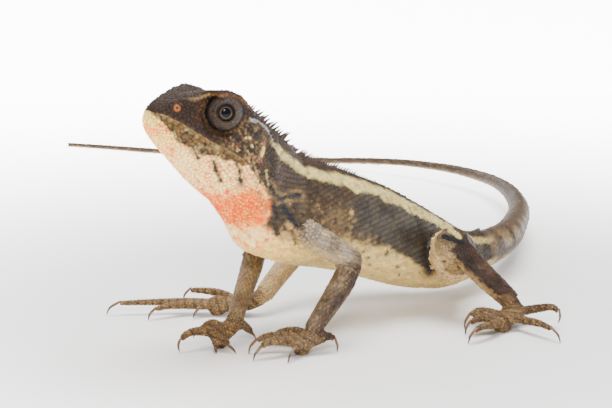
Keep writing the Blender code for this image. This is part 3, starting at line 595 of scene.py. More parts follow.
def trunk_colours(points):
    """Colours of back, stripe, flank and belly, by station along the trunk and height in it, with a painted
    shadow before each thigh.
    """
    station, height = trunk_place(points)
    wobble = noise(points, 1.3) - 0.5
    fine = noise(points, 0.5, 5.3)
    grain = noise(points, 0.9, 2.8)
    blotch = noise(points, 2.4, 2.2)
    k = height + 0.035 * wobble
    rear = step(3.7, 4.7, station + 1.2 * wobble)
    colours = np.tile(OLIVE, (len(points), 1))
    colours = lay(colours, BACK, 0.7 * step(0.55, 0.75, k))
    colours = lay(colours, BACK * 0.8, 0.75 * step(0.42, 0.6, blotch) * step(0.35, 0.5, k))
    colours = lay(colours, OCHRE, 0.3 * band(2.7, 4.2, 0.8, station) * (1 - step(0.50, 0.66, k)))
    specks = step(0.60, 0.72, noise(points, 0.36, 5.3)) * (1 - 0.8 * step(0.56, 0.72, k))
    specks *= 0.20 + 0.45 * step(1.8, 3.4, station)
    colours = lay(colours, OCHRE * 1.2, specks)
    colours = lay(colours, BACK, 0.5 * (1 - step(1.2, 2.6, station)) * step(0.40, 0.55, blotch))
    colours = lay(colours, DARK, 0.7 * step(0.60, 0.72, grain))
    colours = lay(colours, SLATE, rear)
    colours = lay(colours, DARK, rear * 0.6 * step(0.45, 0.65, blotch))
    colours = lay(colours, OLIVE * 1.5, rear * 0.5 * step(0.66, 0.8, fine))
    over = k - np.interp(station, *BELLY_EDGE)
    low = band(-0.02, 0.08, 0.04, over) * band(2.4, 5.0, 0.6, station)
    colours = lay(colours, OCHRE * 1.15, low * step(0.42, 0.66, noise(points, 0.55, 6.2)))
    colours = lay(colours, BACK, step(0.86, 0.90, k))
    colours = lay(colours, DARK, step(0.86, 0.90, k) * 0.6 * step(0.5, 0.7, grain))
    top, foot = np.interp(station, *STRIPE_TOP), np.interp(station, *STRIPE_FOOT)
    stripe = step(foot - 0.012, foot + 0.012, k) * (1 - step(top - 0.012, top + 0.012, k))
    fade = step(*STRIPE_FADE, points[:, 1])
    stripe *= step(*STRIPE_START, points[:, 1]) * (1 - 0.45 * fade)
    rear *= 1 - 0.6 * fade
    colours = lay(colours, STRIPE, stripe)
    colours = lay(colours, OLIVE, stripe * (0.25 + 0.2 * rear) * step(0.62, 0.78, grain))
    colours = lay(colours, SLATE, stripe * 0.6 * step(0.80, 0.88, noise(points, 1.1, 4.9)))
    belly = 1 - step(-0.02, 0.02, over)
    colours = lay(colours, BELLY, belly)
    colours = lay(colours, BREAST, belly * (1 - step(1.5, 3.5, station)))
    colours = lay(colours, OLIVE, belly * 0.5 * step(0.66, 0.8, grain) * band(-0.10, 0.0, 0.03, over))
    # painted shadow: the flank darkened in front of the thigh
    colours = stroke(points, colours, DARK, THIGH_SHADE, 1.3, 0.9)
    return dots(points, colours, DARK * 1.5, BELLY_DOTS, 0.42)


def tail_colours(points):
    """Colours of the tail, by length along it and height on it."""
    line = tail_fine[:, :3]
    place, _ = along_line(points, line)
    k = points[:, 2] - np.interp(place, tail_lengths, line[:, 2])
    around = k / np.interp(place, tail_lengths, tail_fine[:, 3])
    fine = noise(points, 0.7, 5.3)
    bands = 0.5 + 0.5 * np.sin(place * 0.85 + 2.4 * noise(points, 3.0, 1.0))
    colours = np.tile(TAIL_BROWN, (len(points), 1))
    fade = 1 - step(12, 60, place)
    colours = lay(colours, BACK, (0.15 + 0.3 * fade) * step(0.5, 0.8, bands))
    side_bars = (1 - step(0.25, 0.6, bands)) * band(0.0, 0.8, 0.25, around)
    colours = lay(colours, LIMB_PALE, fade * 0.32 * side_bars)
    colours = lay(colours, OCHRE, 0.25 * step(0.6, 0.75, fine))
    colours = lay(colours, DARK, 0.25 * step(0.64, 0.78, noise(points, 0.8, 9.3)))
    return lay(colours, LIMB_PALE, 0.55 * (1 - step(-0.8, -0.2, around)))


def marks_on_head(rows):
    """The places in the body's frame of marks given on the head."""
    return [from_head(*row) for row in rows]


def head_colours(points, across, back, above):
    """Colours of crown, snout, cheek, jaw and throat, by place on the head, with painted shade in the socket
    round each eye.
    """
    fine = noise(points, 0.45, 4.4)
    grain = noise(points, 0.75, 1.9)
    blotch = noise(points, 1.5, 8.8)
    wobble = noise(points, 1.1, 6.1) - 0.5
    over = above - np.interp(back, *MOUTH_LINE)
    over_edge = above - np.interp(back, *JAW_EDGE)
    over_ridge = above - np.interp(back, *CANTHUS)
    colours = np.tile(HEAD_TOP, (len(points), 1))
    colours = lay(colours, HEAD_TOP * 2.4, 0.6 * step(0.6, 0.78, fine))
    side = 1 - step(-0.7, -0.3, over_ridge)
    colours = lay(colours, LOREAL, side)
    rusty = step(0.5, 0.68, grain) * band(3.5, 10.0, 0.8, back) * step(1.5, 3.0, over)
    colours = lay(colours, RUST * 0.7, 0.7 * side * rusty)
    cheek = (1 - step(4.6, 6.0, above + wobble)) * step(11.5, 14.5, back + 0.9 * above)
    colours = lay(colours, CHEEK, cheek)
    colours = lay(colours, DARK, cheek * step(0.48, 0.62, blotch) * 0.75)
    colours = lay(colours, OCHRE, cheek * step(0.60, 0.72, fine) * 0.8)
    colours = lay(colours, RUST, cheek * step(0.66, 0.78, grain) * 0.7)
    colours = dots(points, colours, DARK, marks_on_head(CHEEK_DARK), 0.75)
    colours = dots(points, colours, STRIPE * 0.9, marks_on_head(CHEEK_PALE), 0.34)
    front_ridge = band(-0.35, 0.3, 0.25, over_ridge) * band(5.6, 10.2, 1.0, back) * step(1.5, 2.5, across)
    rear_ridge = band(-0.5, 0.35, 0.3, over_ridge) * band(9.5, 17.0, 1.0, back) * step(2.5, 3.5, across)
    colours = lay(colours, OCHRE * 0.7, front_ridge)
    colours = lay(colours, RUST * 0.9, 0.7 * rear_ridge)
    eye_gap = head_gap(EYE, across, back, above)
    colours = lay(colours, CHEEK * 1.3, band(3.35, 3.9, 0.15, eye_gap) * (1 - step(4.6, 6.4, above)) * 0.8)
    # painted shade: near black in the socket round the lid, up to the brow
    colours = lay(colours, DARK * 0.6, (1 - step(3.25, 3.45, eye_gap)) * (1 - step(6.9, 7.5, above)))
    colours = stroke(points, colours, ASH, marks_on_head(EYE_LINE), 0.32)
    ear_gap = np.hypot(back - EAR[1], (above - EAR[2]) / 1.9)
    colours = lay(colours, RUST * 1.5, (1 - step(0.8, 1.15, ear_gap)) * step(4.0, 5.0, across))
    jaw = (1 - step(-0.02, 0.10, over)) * (1 - step(16.5, 20.5, back + 1.5 * wobble))
    slanted = back + 0.8 * above
    colours = lay(colours, JAW_OCHRE, jaw)
    colours = lay(colours, JAW_OCHRE * (1.0, 0.72, 0.6), jaw * step(-0.1, 0.2, over))
    colours = lay(colours, STRIPE * 0.8, jaw * 0.5 * step(0.62, 0.76, blotch) * (1 - step(-0.3, 0.0, over)))
    colours = lay(colours, OCHRE * 1.3, jaw * 0.5 * step(0.58, 0.7, fine))
    colours = lay(colours, CHEEK * 0.8, jaw * 0.7 * step(0.54, 0.66, grain))
    streaky = noise(np.stack((points[:, 0], slanted * 2.2, slanted * 0.0), axis=1), 0.5, 7.1)
    colours = lay(colours, DARK, jaw * 0.7 * step(0.56, 0.68, streaky) * band(-0.4, 0.7, 0.25, over_edge))
    low_spots = step(0.60, 0.70, noise(points, 0.7, 3.3)) * band(-0.1, 0.9, 0.2, over_edge)
    colours = lay(colours, DARK, 0.75 * jaw * low_spots)
    colours = dots(points, colours, DARK, marks_on_head(JAW_SPOTS), 0.34)
    line = band(-0.10, 0.10, 0.06, over) * band(1.2, 17.0, 1.2, back)
    colours = lay(colours, OCHRE * 1.5, line * 0.7)
    ragged = 0.9 * wobble + 1.6 * step(17, 23, back) * (noise(points, 1.0, 2.4) - 0.5)
    throat = 1 - step(-0.3, 0.3, over_edge + ragged)
    cream = lay(np.tile(THROAT, (len(points), 1)), BREAST, step(29, 34, back))
    cream = lay(cream, BREAST * (1.06, 1.08, 1.0), 0.9 * (1 - step(2.5, 11.0, back)))
    cream = lay(cream, BREAST * (1.0, 1.12, 1.1), 1 - step(0.8, 2.2, back - 0.8 * above))
    slant = above + 0.42 * back
    streaks = step(0.72, 0.95, 0.5 + 0.5 * np.sin(slant * 5.6 + 2.0 * noise(points, 3.5, 2.7)))
    patch = 1 - step(0.55, 1.25, np.hypot((back - 24.6) / 5.8, (above + 7.9) / 3.4) + 0.3 * wobble)
    cream = lay(cream, FLUSH, 0.92 * patch + 0.34 * streaks)
    colours = lay(colours, cream, throat)
    flush = 0.20 + 0.66 * patch + 0.26 * streaks - 0.30 * step(31, 35, back)
    speck = noise(points, 0.42, 5.9)
    colours = lay(colours, ORANGE, throat * 0.9 * step(0.0, 0.14, speck - 0.80 + 0.48 * flush))
    chin = 1 - step(0.5, 1.1, np.hypot(back - 2.4, above + 2.3))
    colours = lay(colours, ORANGE * 0.9 + (0.05, 0.10, 0.02), throat * 0.5 * chin)
    for dash in THROAT_DASHES:
        path = marks_on_head(dash)
        colours = stroke(points, colours, OCHRE * 1.6, path, 0.55 * np.maximum(0.3, 2 * fine), 0.8)
        colours = stroke(points, colours, DARK * 1.5, path, 0.27 * np.maximum(0.2, 2.2 * grain), 0.6)
    return colours


def coat_colours(points, rise, zones):
    """The hide's colour at each point, from its zone and from how far its normal points up."""
    across, back, above = head_place(points)
    colours = trunk_colours(points)
    face = head_colours(points, across, back, above)
    over_edge = above - np.interp(back, *JAW_EDGE)
    front = 1 - step(21.8, 24.2, back + 1.6 * (noise(points, 2.0) - 0.5))
    under = (1 - step(-0.3, 0.3, over_edge)) * (1 - step(36, 40, back))
    colours = lay(colours, face, np.maximum(front, under))
    colours = stroke(points, colours, ASH, marks_on_head(EYE_LINE), 0.3)
    colours = dots(points, colours, OCHRE * 1.6, FLANK_DOTS, 0.5)
    yellow = 1 - step(1.3, 2.3, np.linalg.norm(folded(points) - np.array(YELLOW_SPOT), axis=1))
    mottled = step(0.3, 0.55, noise(points, 0.8, 2.2))
    colours = lay(colours, OCHRE * 1.7, 0.9 * yellow * mottled)
    colours = stroke(points, colours, OCHRE * 0.6, CRESCENT, 1.0, 0.5)
    colours = stroke(points, colours, BLUE_BLACK, CRESCENT, 0.44, 0.3)
    colours = stroke(points, colours, BLUE_BLACK, SHOULDER_BAND, 0.6, 0.3)
    colours = stroke(points, colours, BLUE_BLACK, THROAT_BAR, 0.3)
    colours = stroke(points, colours, STRIPE * 0.8, NECK_PALE, 0.25)
    for zone in np.unique(zones):
        here = zones == zone
        if zone == "tail":
            over_tail = step(*TAIL_BLEND, points[here, 1])
            colours[here] = lay(colours[here], tail_colours(points[here]), over_tail)
        elif zone in LIMB_LINES:
            colours[here] = limb_colours(points[here], rise[here], zone)
    return colours


# Hide: one skin over head, trunk, tail and limbs, a little inside the solids so that the scales' tops lie
# at their surface. The solids are grown to meet, joined into one mesh, smoothed and drawn in again.
SKIN_JOIN = 0.17  # mm that each solid is grown by, over half the cuts between them
SKIN_CELL = 0.34
COAT_DEPTH = 0.12
SMOOTHINGS = 8
BACK_TOP = 0.985  # share of the trunk's height that the skin keeps, without the solids' spines
CREST_HALF = 1.6  # mm either side of the midline within which the solids' spines are taken off
CROWN_TOP = ((17.4, 20.4, 23.0, 27.0), (8.0, 8.0, 7.8, 6.9))  # back and above, on the midline of the head
BARE_PAINTED_SHADE = 0.62  # share of the markings' tone on the skin between the scales, darkened as painted shade in the gaps under them
EYE_NODES = ("eye_left", "eye_right")
EYE_RADIUS = 2.45
SOCKET_RADIUS = 2.15
SOCKET_MOUTH = 3.4  # mm from the eye's middle, where the socket's wall meets the hide
GAZE = np.array((0.80, -0.57, 0.14))
TAIL_ROOT_TOP = ((50.0, 52.0, 56.0, 62.0, 63.0), (12.95, 12.3, 11.45, 10.75, 10.6))  # y and z on the midline
ORBIT_FLOOR = (0.15, 3.15, 1.7)  # mm along the gaze, mm from it, and the slope at which the hide rises beyond
flesh = [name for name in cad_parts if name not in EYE_NODES and "claw" not in name]
solids = {name: node_arrays(name) for name in flesh + list(EYE_NODES)}


def raw_mesh(name, verts, faces):
    """A mesh from points in mm in the body's frame and faces that all have the same number of corners."""
    mesh = bpy.data.meshes.new(name)
    sides = faces.shape[1]
    mesh.vertices.add(len(verts))
    mesh.vertices.foreach_set("co", placed(verts).astype(np.float32).ravel())
    mesh.loops.add(faces.size)
    mesh.loops.foreach_set("vertex_index", faces.astype(np.int32).ravel())
    mesh.polygons.add(len(faces))
    mesh.polygons.foreach_set("loop_start", np.arange(0, faces.size, sides, dtype=np.int32))
    mesh.update(calc_edges=True)
    mesh.validate()
    return mesh


def surface_tree(names):
    """A tree for rays and nearest points on some of the CAD's nodes, in mm."""
    verts, tris, count = [], [], 0
    for name in names:
        verts.append(solids[name][0])
        tris.append(solids[name][1] + count)
        count += len(solids[name][0])
    return BVHTree.FromPolygons(np.vstack(verts).tolist(), np.vstack(tris).tolist())


grown_verts, grown_tris, grown_count = [], [], 0
for verts, tris in solids.values():
    grown_verts.append(verts + SKIN_JOIN * point_normals(verts, tris))
    grown_tris.append(tris + grown_count)
    grown_count += len(verts)
grown = shown("grown solids", raw_mesh("grown solids", np.vstack(grown_verts), np.vstack(grown_tris)))
join = grown.modifiers.new("join", "REMESH")
join.mode = "VOXEL"
join.voxel_size = SKIN_CELL * MM
joined = bpy.data.meshes.new_from_object(grown.evaluated_get(bpy.context.evaluated_depsgraph_get()))
bpy.data.objects.remove(grown)

hide_verts = np.empty(len(joined.vertices) * 3, dtype=np.float32)
joined.vertices.foreach_get("co", hide_verts)
hide_verts = (hide_verts.reshape(-1, 3).astype(float) - ORIGIN) / MM
hide_faces = np.empty(len(joined.loops), dtype=np.int32)
joined.loops.foreach_get("vertex_index", hide_faces)
hide_faces = hide_faces.reshape(-1, 4)
hide_edges = np.empty(len(joined.edges) * 2, dtype=np.int32)
joined.edges.foreach_get("vertices", hide_edges)
hide_edges = hide_edges.reshape(-1, 2)


def eye_axes(side):
    """An eye's middle, its line of sight, and the direction to the rear across it."""
    gaze = unit(GAZE * (side, 1, 1))
    level = unit(HEAD_BACK - gaze * float(HEAD_BACK @ gaze))
    return from_head(side * EYE[0], EYE[1], EYE[2]), gaze, level


def smoothed(verts, strength):
    """Moves each point of the hide towards, or away from, the middle of its neighbours."""
    ends = np.concatenate((hide_edges[:, 0], hide_edges[:, 1]))
    others = np.concatenate((hide_edges[:, 1], hide_edges[:, 0]))
    links = np.maximum(np.bincount(ends, minlength=len(verts)), 1)
    middle = np.stack([np.bincount(ends, verts[others, i], len(verts)) / links for i in range(3)], axis=1)
    return verts + strength * (middle - verts)


station, height = trunk_place(hide_verts)
spiny = (np.abs(hide_verts[:, 0]) < CREST_HALF) & (height > BACK_TOP) & (station > 0) & (station < 10.9)
nearest = np.clip(np.round(station * TRUNK_STEPS).astype(int), 0, len(trunk_fine) - 1)
drop = (height - BACK_TOP) * trunk_height[nearest]
hide_verts[spiny, 1:] -= (drop[:, None] * trunk_up[nearest])[spiny]
across, back, above = head_place(hide_verts)
crown = np.interp(back, *CROWN_TOP) - 0.05
lumps = (np.abs(across) < CREST_HALF) & (back > 18.0) & (back < 27.5) & (above > crown)
hide_verts[lumps] -= ((above - crown)[:, None] * HEAD_UP)[lumps]
ridge = np.interp(hide_verts[:, 1], *TAIL_ROOT_TOP)
lumps = (np.abs(hide_verts[:, 0]) < CREST_HALF) & (hide_verts[:, 2] > ridge)
lumps &= (hide_verts[:, 1] > 50) & (hide_verts[:, 1] < 62)
hide_verts[lumps, 2] = ridge[lumps]
for _ in range(SMOOTHINGS):
    hide_verts = smoothed(hide_verts, 0.5)
    hide_verts = smoothed(hide_verts, -0.53)
hide_verts -= (SKIN_JOIN + COAT_DEPTH) * point_normals(hide_verts, hide_faces)
for side in (1, -1):
    centre, gaze, level = eye_axes(side)
    tall = np.cross(gaze, level) * side
    away = hide_verts - centre
    reach = np.linalg.norm(away, axis=1)
    outer = step(-1.2, 0.2, away[:, 0] * side)
    wall = SOCKET_RADIUS + (SOCKET_MOUTH - SOCKET_RADIUS) * step(2.95, SOCKET_MOUTH, reach)
    sunk = np.where(reach < SOCKET_MOUTH, wall, reach)
    hide_verts += away * (outer * (np.minimum(sunk, reach) / np.maximum(reach, 1e-9) - 1))[:, None]
    away = hide_verts - centre
    along = away @ gaze
    radial = np.sqrt(np.maximum((away * away).sum(axis=1) - along * along, 0))
    limit = ORBIT_FLOOR[0] + ORBIT_FLOOR[2] * np.maximum(radial - ORBIT_FLOOR[1], 0)
    open_way = unit(-1.0 * level - 0.75 * tall)
    front_low = step(0.05, 0.4, (away @ open_way) / np.maximum(radial, 1e-9))
    drop = np.maximum(along - limit, 0) * front_low * (1 - step(4.6, 5.4, radial)) * (along > -1)
    hide_verts -= gaze * drop[:, None]
hide_verts = smoothed(hide_verts, 0.4)
hide_normals = point_normals(hide_verts, hide_faces)
hide_tree = BVHTree.FromPolygons(hide_verts.tolist(), hide_faces.tolist())

ZONES = ["trunk", "tail"] + list(LIMB_LINES)
tail_nodes = [name for name in flesh if "tail" in name]
zone_trees = [surface_tree(("head", "neck", "torso", "pelvis")), surface_tree(tail_nodes)]
for key in LIMB_LINES:
    side, kind = key.split()
    zone_trees.append(surface_tree([f"{side}_{part}" for part in LIMB_NODES[kind]]))
zone_gaps = np.array([[tree.find_nearest(p)[3] for tree in zone_trees] for p in hide_verts.tolist()])
hide_zones = np.array(ZONES)[zone_gaps.argmin(axis=1)]
hide_zones[(hide_zones == "trunk") & (hide_verts[:, 1] > 54.5)] = "tail"
hide_colours = coat_colours(hide_verts, hide_normals[:, 2], hide_zones)


def store_colours(mesh, colours):
    """Keeps a colour at each point of a mesh, for its material to read."""
    held = mesh.attributes.new("Coat", "FLOAT_COLOR", "POINT")
    rows = np.ones((len(colours), 4), dtype=np.float32)
    rows[:, :3] = np.clip(colours, 0, 1)
    held.data.foreach_set("color", rows.ravel())


def hide_material(name, grain, depth, shine, gloss=0.17):
    """A finish over the markings: fine grain in tone, roughness and bump, at a scale in mm."""
    made, shader, place = material(name)
    marks = place.node("Attribute", attribute_name="Coat")
    fine = place.node("TexNoise", {"Vector": place, "Scale": 1000.0 / grain, "Detail": 5.0, "Roughness": 0.6})
    pores = place.node("TexVoronoi", {"Vector": place, "Scale": 1600.0 / grain})
    specks = place.node("TexNoise", {"Vector": place, "Scale": 420.0 / grain, "Detail": 3.0})
    tone = fine * 0.7 + 0.68 - specks.between(0.52, 0.68) * 0.34
    link(shader, "Base Color", marks.times(tone))
    link(shader, "Roughness", fine * 0.2 + shine)
    link(shader, "Specular IOR Level", gloss)
    height = fine * 0.7 + pores * 0.3
    bump = place.node("Bump", {"Strength": 0.35, "Distance": depth * MM, "Height": height})
    link(shader, "Normal", bump)
    return made


hide_stuff = hide_material("lizard hide", 0.22, 0.03, 0.5)
hide_mesh = raw_mesh("hide", hide_verts, hide_faces)
# painted shade: the skin between the scales darker than its markings
store_colours(hide_mesh, hide_colours * BARE_PAINTED_SHADE)
hide_mesh.materials.append(hide_stuff)
hide_mesh.shade_smooth()
hide = shown("hide", hide_mesh)
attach(hide, "root")
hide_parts(*flesh)


# Trunk scales: keeled, pointed plates in slanting rows that overlap like tiles, tips to the rear and, on the
# flanks, upwards. Each is a thin closed plate of horn whose root is sunk in the hide.
ROW_PITCH = 0.92
SCALES_AROUND = 54
SCALE_LENGTH = 1.6
SCALE_WIDTH = 1.2
SCALE_THICK = 0.11
KEEL_HEIGHT = 0.14
SCALE_TILT = 0.14
SCALE_SINK = 0.06  # mm that a scale's root lies below the hide
PATCH = 0.003  # side of a scale's place on the unwrap of the hide
TILE = np.array((
    # along, across, height share of the keel: the rim from root to tip and back, then the keel
    (0.0, -0.30, 0.0), (0.38, -0.50, 0.0), (0.74, -0.36, 0.0), (1.0, 0.0, 0.0),
    (0.74, 0.36, 0.0), (0.38, 0.50, 0.0), (0.0, 0.30, 0.0),
    (0.0, 0.0, 0.7), (0.5, 0.0, 1.0), (0.86, 0.0, 0.85),
))
TILE_RIM = 7  # points of the rim, which come first
TILE_TOP = ((0, 1, 8), (0, 8, 7), (1, 2, 8), (2, 9, 8), (2, 3, 9),
            (3, 4, 9), (4, 8, 9), (4, 5, 8), (5, 6, 8), (6, 7, 8))
random = np.random.default_rng(5)


def tile_faces():
    """Triangles of one scale: its keeled top, its thin rim, and its flat underside."""
    low = len(TILE)
    faces = list(TILE_TOP)
    for i in range(TILE_RIM - 1):
        faces += [(i, low + i, low + i + 1), (i, low + i + 1, i + 1)]
    faces += [(6, low + 6, 7), (7, low + 6, low), (7, low, 0)]
    faces += [(low, low + i + 1, low + i) for i in range(1, TILE_RIM - 1)]
    return np.array(faces)


TILE_FACES = tile_faces()


def tile_points(root, normal, ahead, length, width, tilt, keel, thick):
    """Points of many scales at once: an array of scales by points by 3."""
    across = np.cross(normal, ahead)
    top = TILE[None]
    rise = thick[:, None] + keel[:, None] * top[:, :, 2] + tilt[:, None] * top[:, :, 0]
    points = (
        root[:, None]
        + ahead[:, None] * (length[:, None] * top[:, :, 0])[:, :, None]
        + across[:, None] * (width[:, None] * top[:, :, 1])[:, :, None]
        + normal[:, None] * (rise - SCALE_SINK)[:, :, None]
    )
    drop = thick[:, None] * np.ones(TILE_RIM) + 0.04 * (1 - top[:, :TILE_RIM, 0])
    lower = points[:, :TILE_RIM] - normal[:, None] * drop[:, :, None]
    return np.concatenate((points, lower), axis=1)


def coat_piece(name, points, faces, colours, places, stuff, painted_light=None):
    """One mesh of many like scales, each with its colours, painted shade and highlight at its points if given,
    and its own small patch of the unwrap.
    """
    count, size = points.shape[:2]
    offsets = (np.arange(count) * size)[:, None, None]
    all_faces = (faces[None] + offsets).reshape(-1, 3)
    mesh = raw_mesh(name, points.reshape(-1, 3), all_faces)
    tones = np.repeat(colours[:, None], size, axis=1) if colours.ndim == 2 else colours
    # painted shade on rims, undersides and roots and painted highlight on keels and tops, weaker on pale scales
    if painted_light is not None:
        depth = 1 - 0.65 * step(0.12, 0.42, tones.mean(axis=2))
        tones = tones * (1 + (painted_light[None] - 1) * depth)[:, :, None]
    store_colours(mesh, tones.reshape(-1, 3))
    unwrap = mesh.uv_layers.new(name="OFBake")
    local = np.tile(np.linspace(0, 1, size)[:, None], (1, 2))
    local[:, 1] = (np.arange(size) * 0.618) % 1
    spots_at = (places[:, None] + PATCH * local[None]).reshape(-1, 2)
    unwrap.data.foreach_set("uv", spots_at[all_faces.ravel()].astype(np.float32).ravel())
    mesh.set_sharp_from_angle(angle=math.radians(38))
    mesh.materials.append(stuff)
    made = shown(name, mesh)
    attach(made, "root")


def row_places(along, share):
    """Places on the unwrap for one row of scales, from its length and each scale's share of the way round."""
    return np.stack((np.full(len(share), 0.02 + along), 0.02 + 0.9 * share), axis=1)


def hide_at(points):
    """The place and normal of the hide nearest to each point, and how far it lies."""
    found = [hide_tree.find_nearest(p) for p in points.tolist()]
    place = np.array([f[0][:] for f in found])
    away = np.array([f[3] for f in found])
    return place, hide_face_normals[[f[2] for f in found]], away


def cast(tree, start, ray, reach):
    """How far each ray runs to the tree's surface, or no number where it meets nothing."""
    out = np.full(len(ray), np.nan)
    for i, (a, b) in enumerate(zip(start.tolist(), ray.tolist())):
        hit = tree.ray_cast(a, b, reach)
        if hit[0] is not None:
            out[i] = hit[3]
    return out


def flat_on(direction, normal):
    """A direction turned into the plane of the hide."""
    return unit(direction - normal * np.einsum("nc,nc->n", direction, normal)[:, None])


hide_face_normals = unit(np.cross(
    hide_verts[hide_faces[:, 2]] - hide_verts[hide_faces[:, 0]],
    hide_verts[hide_faces[:, 3]] - hide_verts[hide_faces[:, 1]],
))


def ring_sites(centre, up, side, tree, reach, around, shift):
    """Points evenly spaced round one cross-section of the hide, skipping where another part joins it."""
    angles = np.radians(np.arange(0, 360, 4.0))
    rays = np.cos(angles)[:, None] * up + np.sin(angles)[:, None] * side
    start = np.tile(centre, (len(angles), 1))
    own = cast(tree, start, rays, reach)
    skin = cast(hide_tree, start, rays, reach)
    own = np.where(np.isnan(own), skin, own)
    ok = np.abs(own - skin) < 0.7
    ok |= (np.abs(np.sin(angles)) < 0.16) & (np.cos(angles) > 0) & ~np.isnan(skin)
    length = np.where(ok, skin, own)
    if np.isnan(length).all():
        return np.zeros((0, 3)), np.zeros(0)
    length = np.where(np.isnan(length), np.nanmedian(length), length)
    points = start + rays * length[:, None]
    loop = np.vstack((points, points[:1]))
    walked = lengths_along(loop)
    wanted = ((np.arange(around) + shift) / around % 1.0) * walked[-1]
    place = at_length(loop, walked, wanted)
    good = np.interp(wanted, walked, np.append(ok, ok[0]).astype(float)) > 0.99
    return place[good], (wanted / walked[-1])[good]


def site_colours(points, normals, zone, spread=0.12):
    """Colours at every point of the scales: the markings there, each scale a little lighter or darker."""
    count, size = points.shape[:2]
    rise = np.repeat(normals[:, 2], size)
    colours = coat_colours(points.reshape(-1, 3), rise, np.full(count * size, zone)).reshape(count, size, 3)
    chance = random.normal(1.0, spread, count)
    warm = random.normal(0.0, 0.04, count)
    colours = colours * np.clip(chance, 0.6, 1.4)[:, None, None]
    return colours * np.stack((1 + warm, np.ones(count), 1 - warm), axis=1)[:, None]


trunk_tree = surface_tree(("neck", "torso", "pelvis"))
trunk_walk = lengths_along((trunk_fine[:, :2] + trunk_fine[:, 2:]) / 2)
roots, backs, places = [], [], []
for row, walked in enumerate(np.arange(0.3, trunk_walk[-1] - 0.5, ROW_PITCH)):
    ty, tz, by, bz = (np.interp(walked, trunk_walk, trunk_fine[:, i]) for i in range(4))
    up = unit(np.array((0.0, ty - by, tz - bz)))
    centre = np.array((0.0, by + 0.5 * (ty - by), bz + 0.5 * (tz - bz)))
    around = SCALES_AROUND if walked < 50 else SCALES_AROUND - 8
    found, share = ring_sites(centre, up, np.array((1.0, 0.0, 0.0)), trunk_tree, 16, around, 0.5 * (row % 2))
    if len(found):
        roots.append(found)
        backs.append(np.tile((0.0, up[2], -up[1]), (len(found), 1)))
        places.append(row_places(0.9 * walked / trunk_walk[-1], share))
roots, backs, places = np.vstack(roots), np.vstack(backs), np.vstack(places)
place, normal, _ = hide_at(roots)
station, height = trunk_place(place)
lift = band(0.3, 0.9, 0.12, height)[:, None] * np.array((0.0, 0.0, 0.55))
ahead = flat_on(backs + lift, normal)
smaller = 1 - 0.18 * step(0.75, 1.0, station / 11)
count = len(place)
trunk_sites = place + ahead * SCALE_LENGTH * 0.3
scales = tile_points(
    place, normal, ahead,
    SCALE_LENGTH * smaller * random.uniform(0.93, 1.07, count),
    SCALE_WIDTH * smaller * random.uniform(0.93, 1.05, count),
    SCALE_TILT * random.uniform(0.8, 1.25, count),
    KEEL_HEIGHT * random.uniform(0.8, 1.2, count),
    SCALE_THICK * np.ones(count),
)
# painted light at each point of a scale: lighter along the keel to the tip, darker at the rim, and dark
# underneath
TILE_PAINTED_LIGHT = np.array((0.75, 0.72, 0.78, 1.02, 0.78, 0.72, 0.75, 1.0, 1.12, 1.16) + (0.45,) * TILE_RIM)
scale_stuff = hide_material("horny scales", 0.16, 0.02, 0.4)
tones = site_colours(scales, normal, "trunk")
coat_piece("trunk_scales", scales, TILE_FACES, tones, places, scale_stuff, TILE_PAINTED_LIGHT)


# Tail scales: whorls of keeled plates of horn that grow longer and fewer towards the thin end. Each is rooted
# in the skin like the trunk's and lies over the next whorl.
WHORL_PITCH = 1.3
WHORL_LEAST = 9  # scales round the thin end
tail_tree = surface_tree([name for name in flesh if name in tail_nodes or name == "pelvis"])
roots, backs, places, sizes = [], [], [], []
tail_start = float(np.interp(55.2, tail_fine[:, 1][:24], tail_lengths[:24]))
for row, walked in enumerate(np.arange(tail_start, tail_lengths[-1] - 0.4, WHORL_PITCH)):
    centre = at_length(tail_fine, tail_lengths, walked)
    later = at_length(tail_fine, tail_lengths, walked + 0.5)
    radius = np.interp(walked, tail_lengths, tail_fine[:, 3])
    along = unit(later - centre) if walked < tail_lengths[-1] - 1 else along
    side = unit(np.cross(along, (0.0, 0.0, 1.0)))
    up = np.cross(side, along)
    around = max(WHORL_LEAST, int(round(2 * math.pi * radius / 1.15)))
    found, share = ring_sites(centre, up, side, tail_tree, radius * 1.8, around, 0.5 * (row % 2))
    if len(found):
        roots.append(found)
        backs.append(np.tile(along, (len(found), 1)))
        places.append(row_places(0.95 * walked / tail_lengths[-1], share))
        sizes.append(np.full(len(found), 2 * math.pi * radius / around))
roots, backs, places, sizes = np.vstack(roots), np.vstack(backs), np.vstack(places), np.concatenate(sizes)
place, normal, _ = hide_at(roots)
ahead = flat_on(backs, normal)
count = len(place)
scales = tile_points(
    place, normal, ahead,
    1.95 * random.uniform(0.95, 1.05, count), 1.22 * sizes,
    np.minimum(0.12, 0.15 * sizes), 0.12 * np.minimum(sizes, 1.0), 0.09 * np.minimum(sizes, 1.0),
)
tones = site_colours(scales, normal, "tail")
coat_piece("tail_scales", scales, TILE_FACES, tones, places, scale_stuff, TILE_PAINTED_LIGHT)
tail_sites = place + ahead * 0.6


# Limb scales: smaller keeled plates of horn in rings round the arms and legs, rooted in the skin, with their
# tips towards the toes.
LIMB_PITCH = 0.66
LIMB_SPACING = 0.74
PROBE_TURNS = np.arange(8) * math.pi / 4


def point_finder(points):
    """A tree that finds the nearest of some points."""
    tree = KDTree(len(points))
    for i, p in enumerate(points.tolist()):
        tree.insert(p, i)
    tree.balance()
    return tree


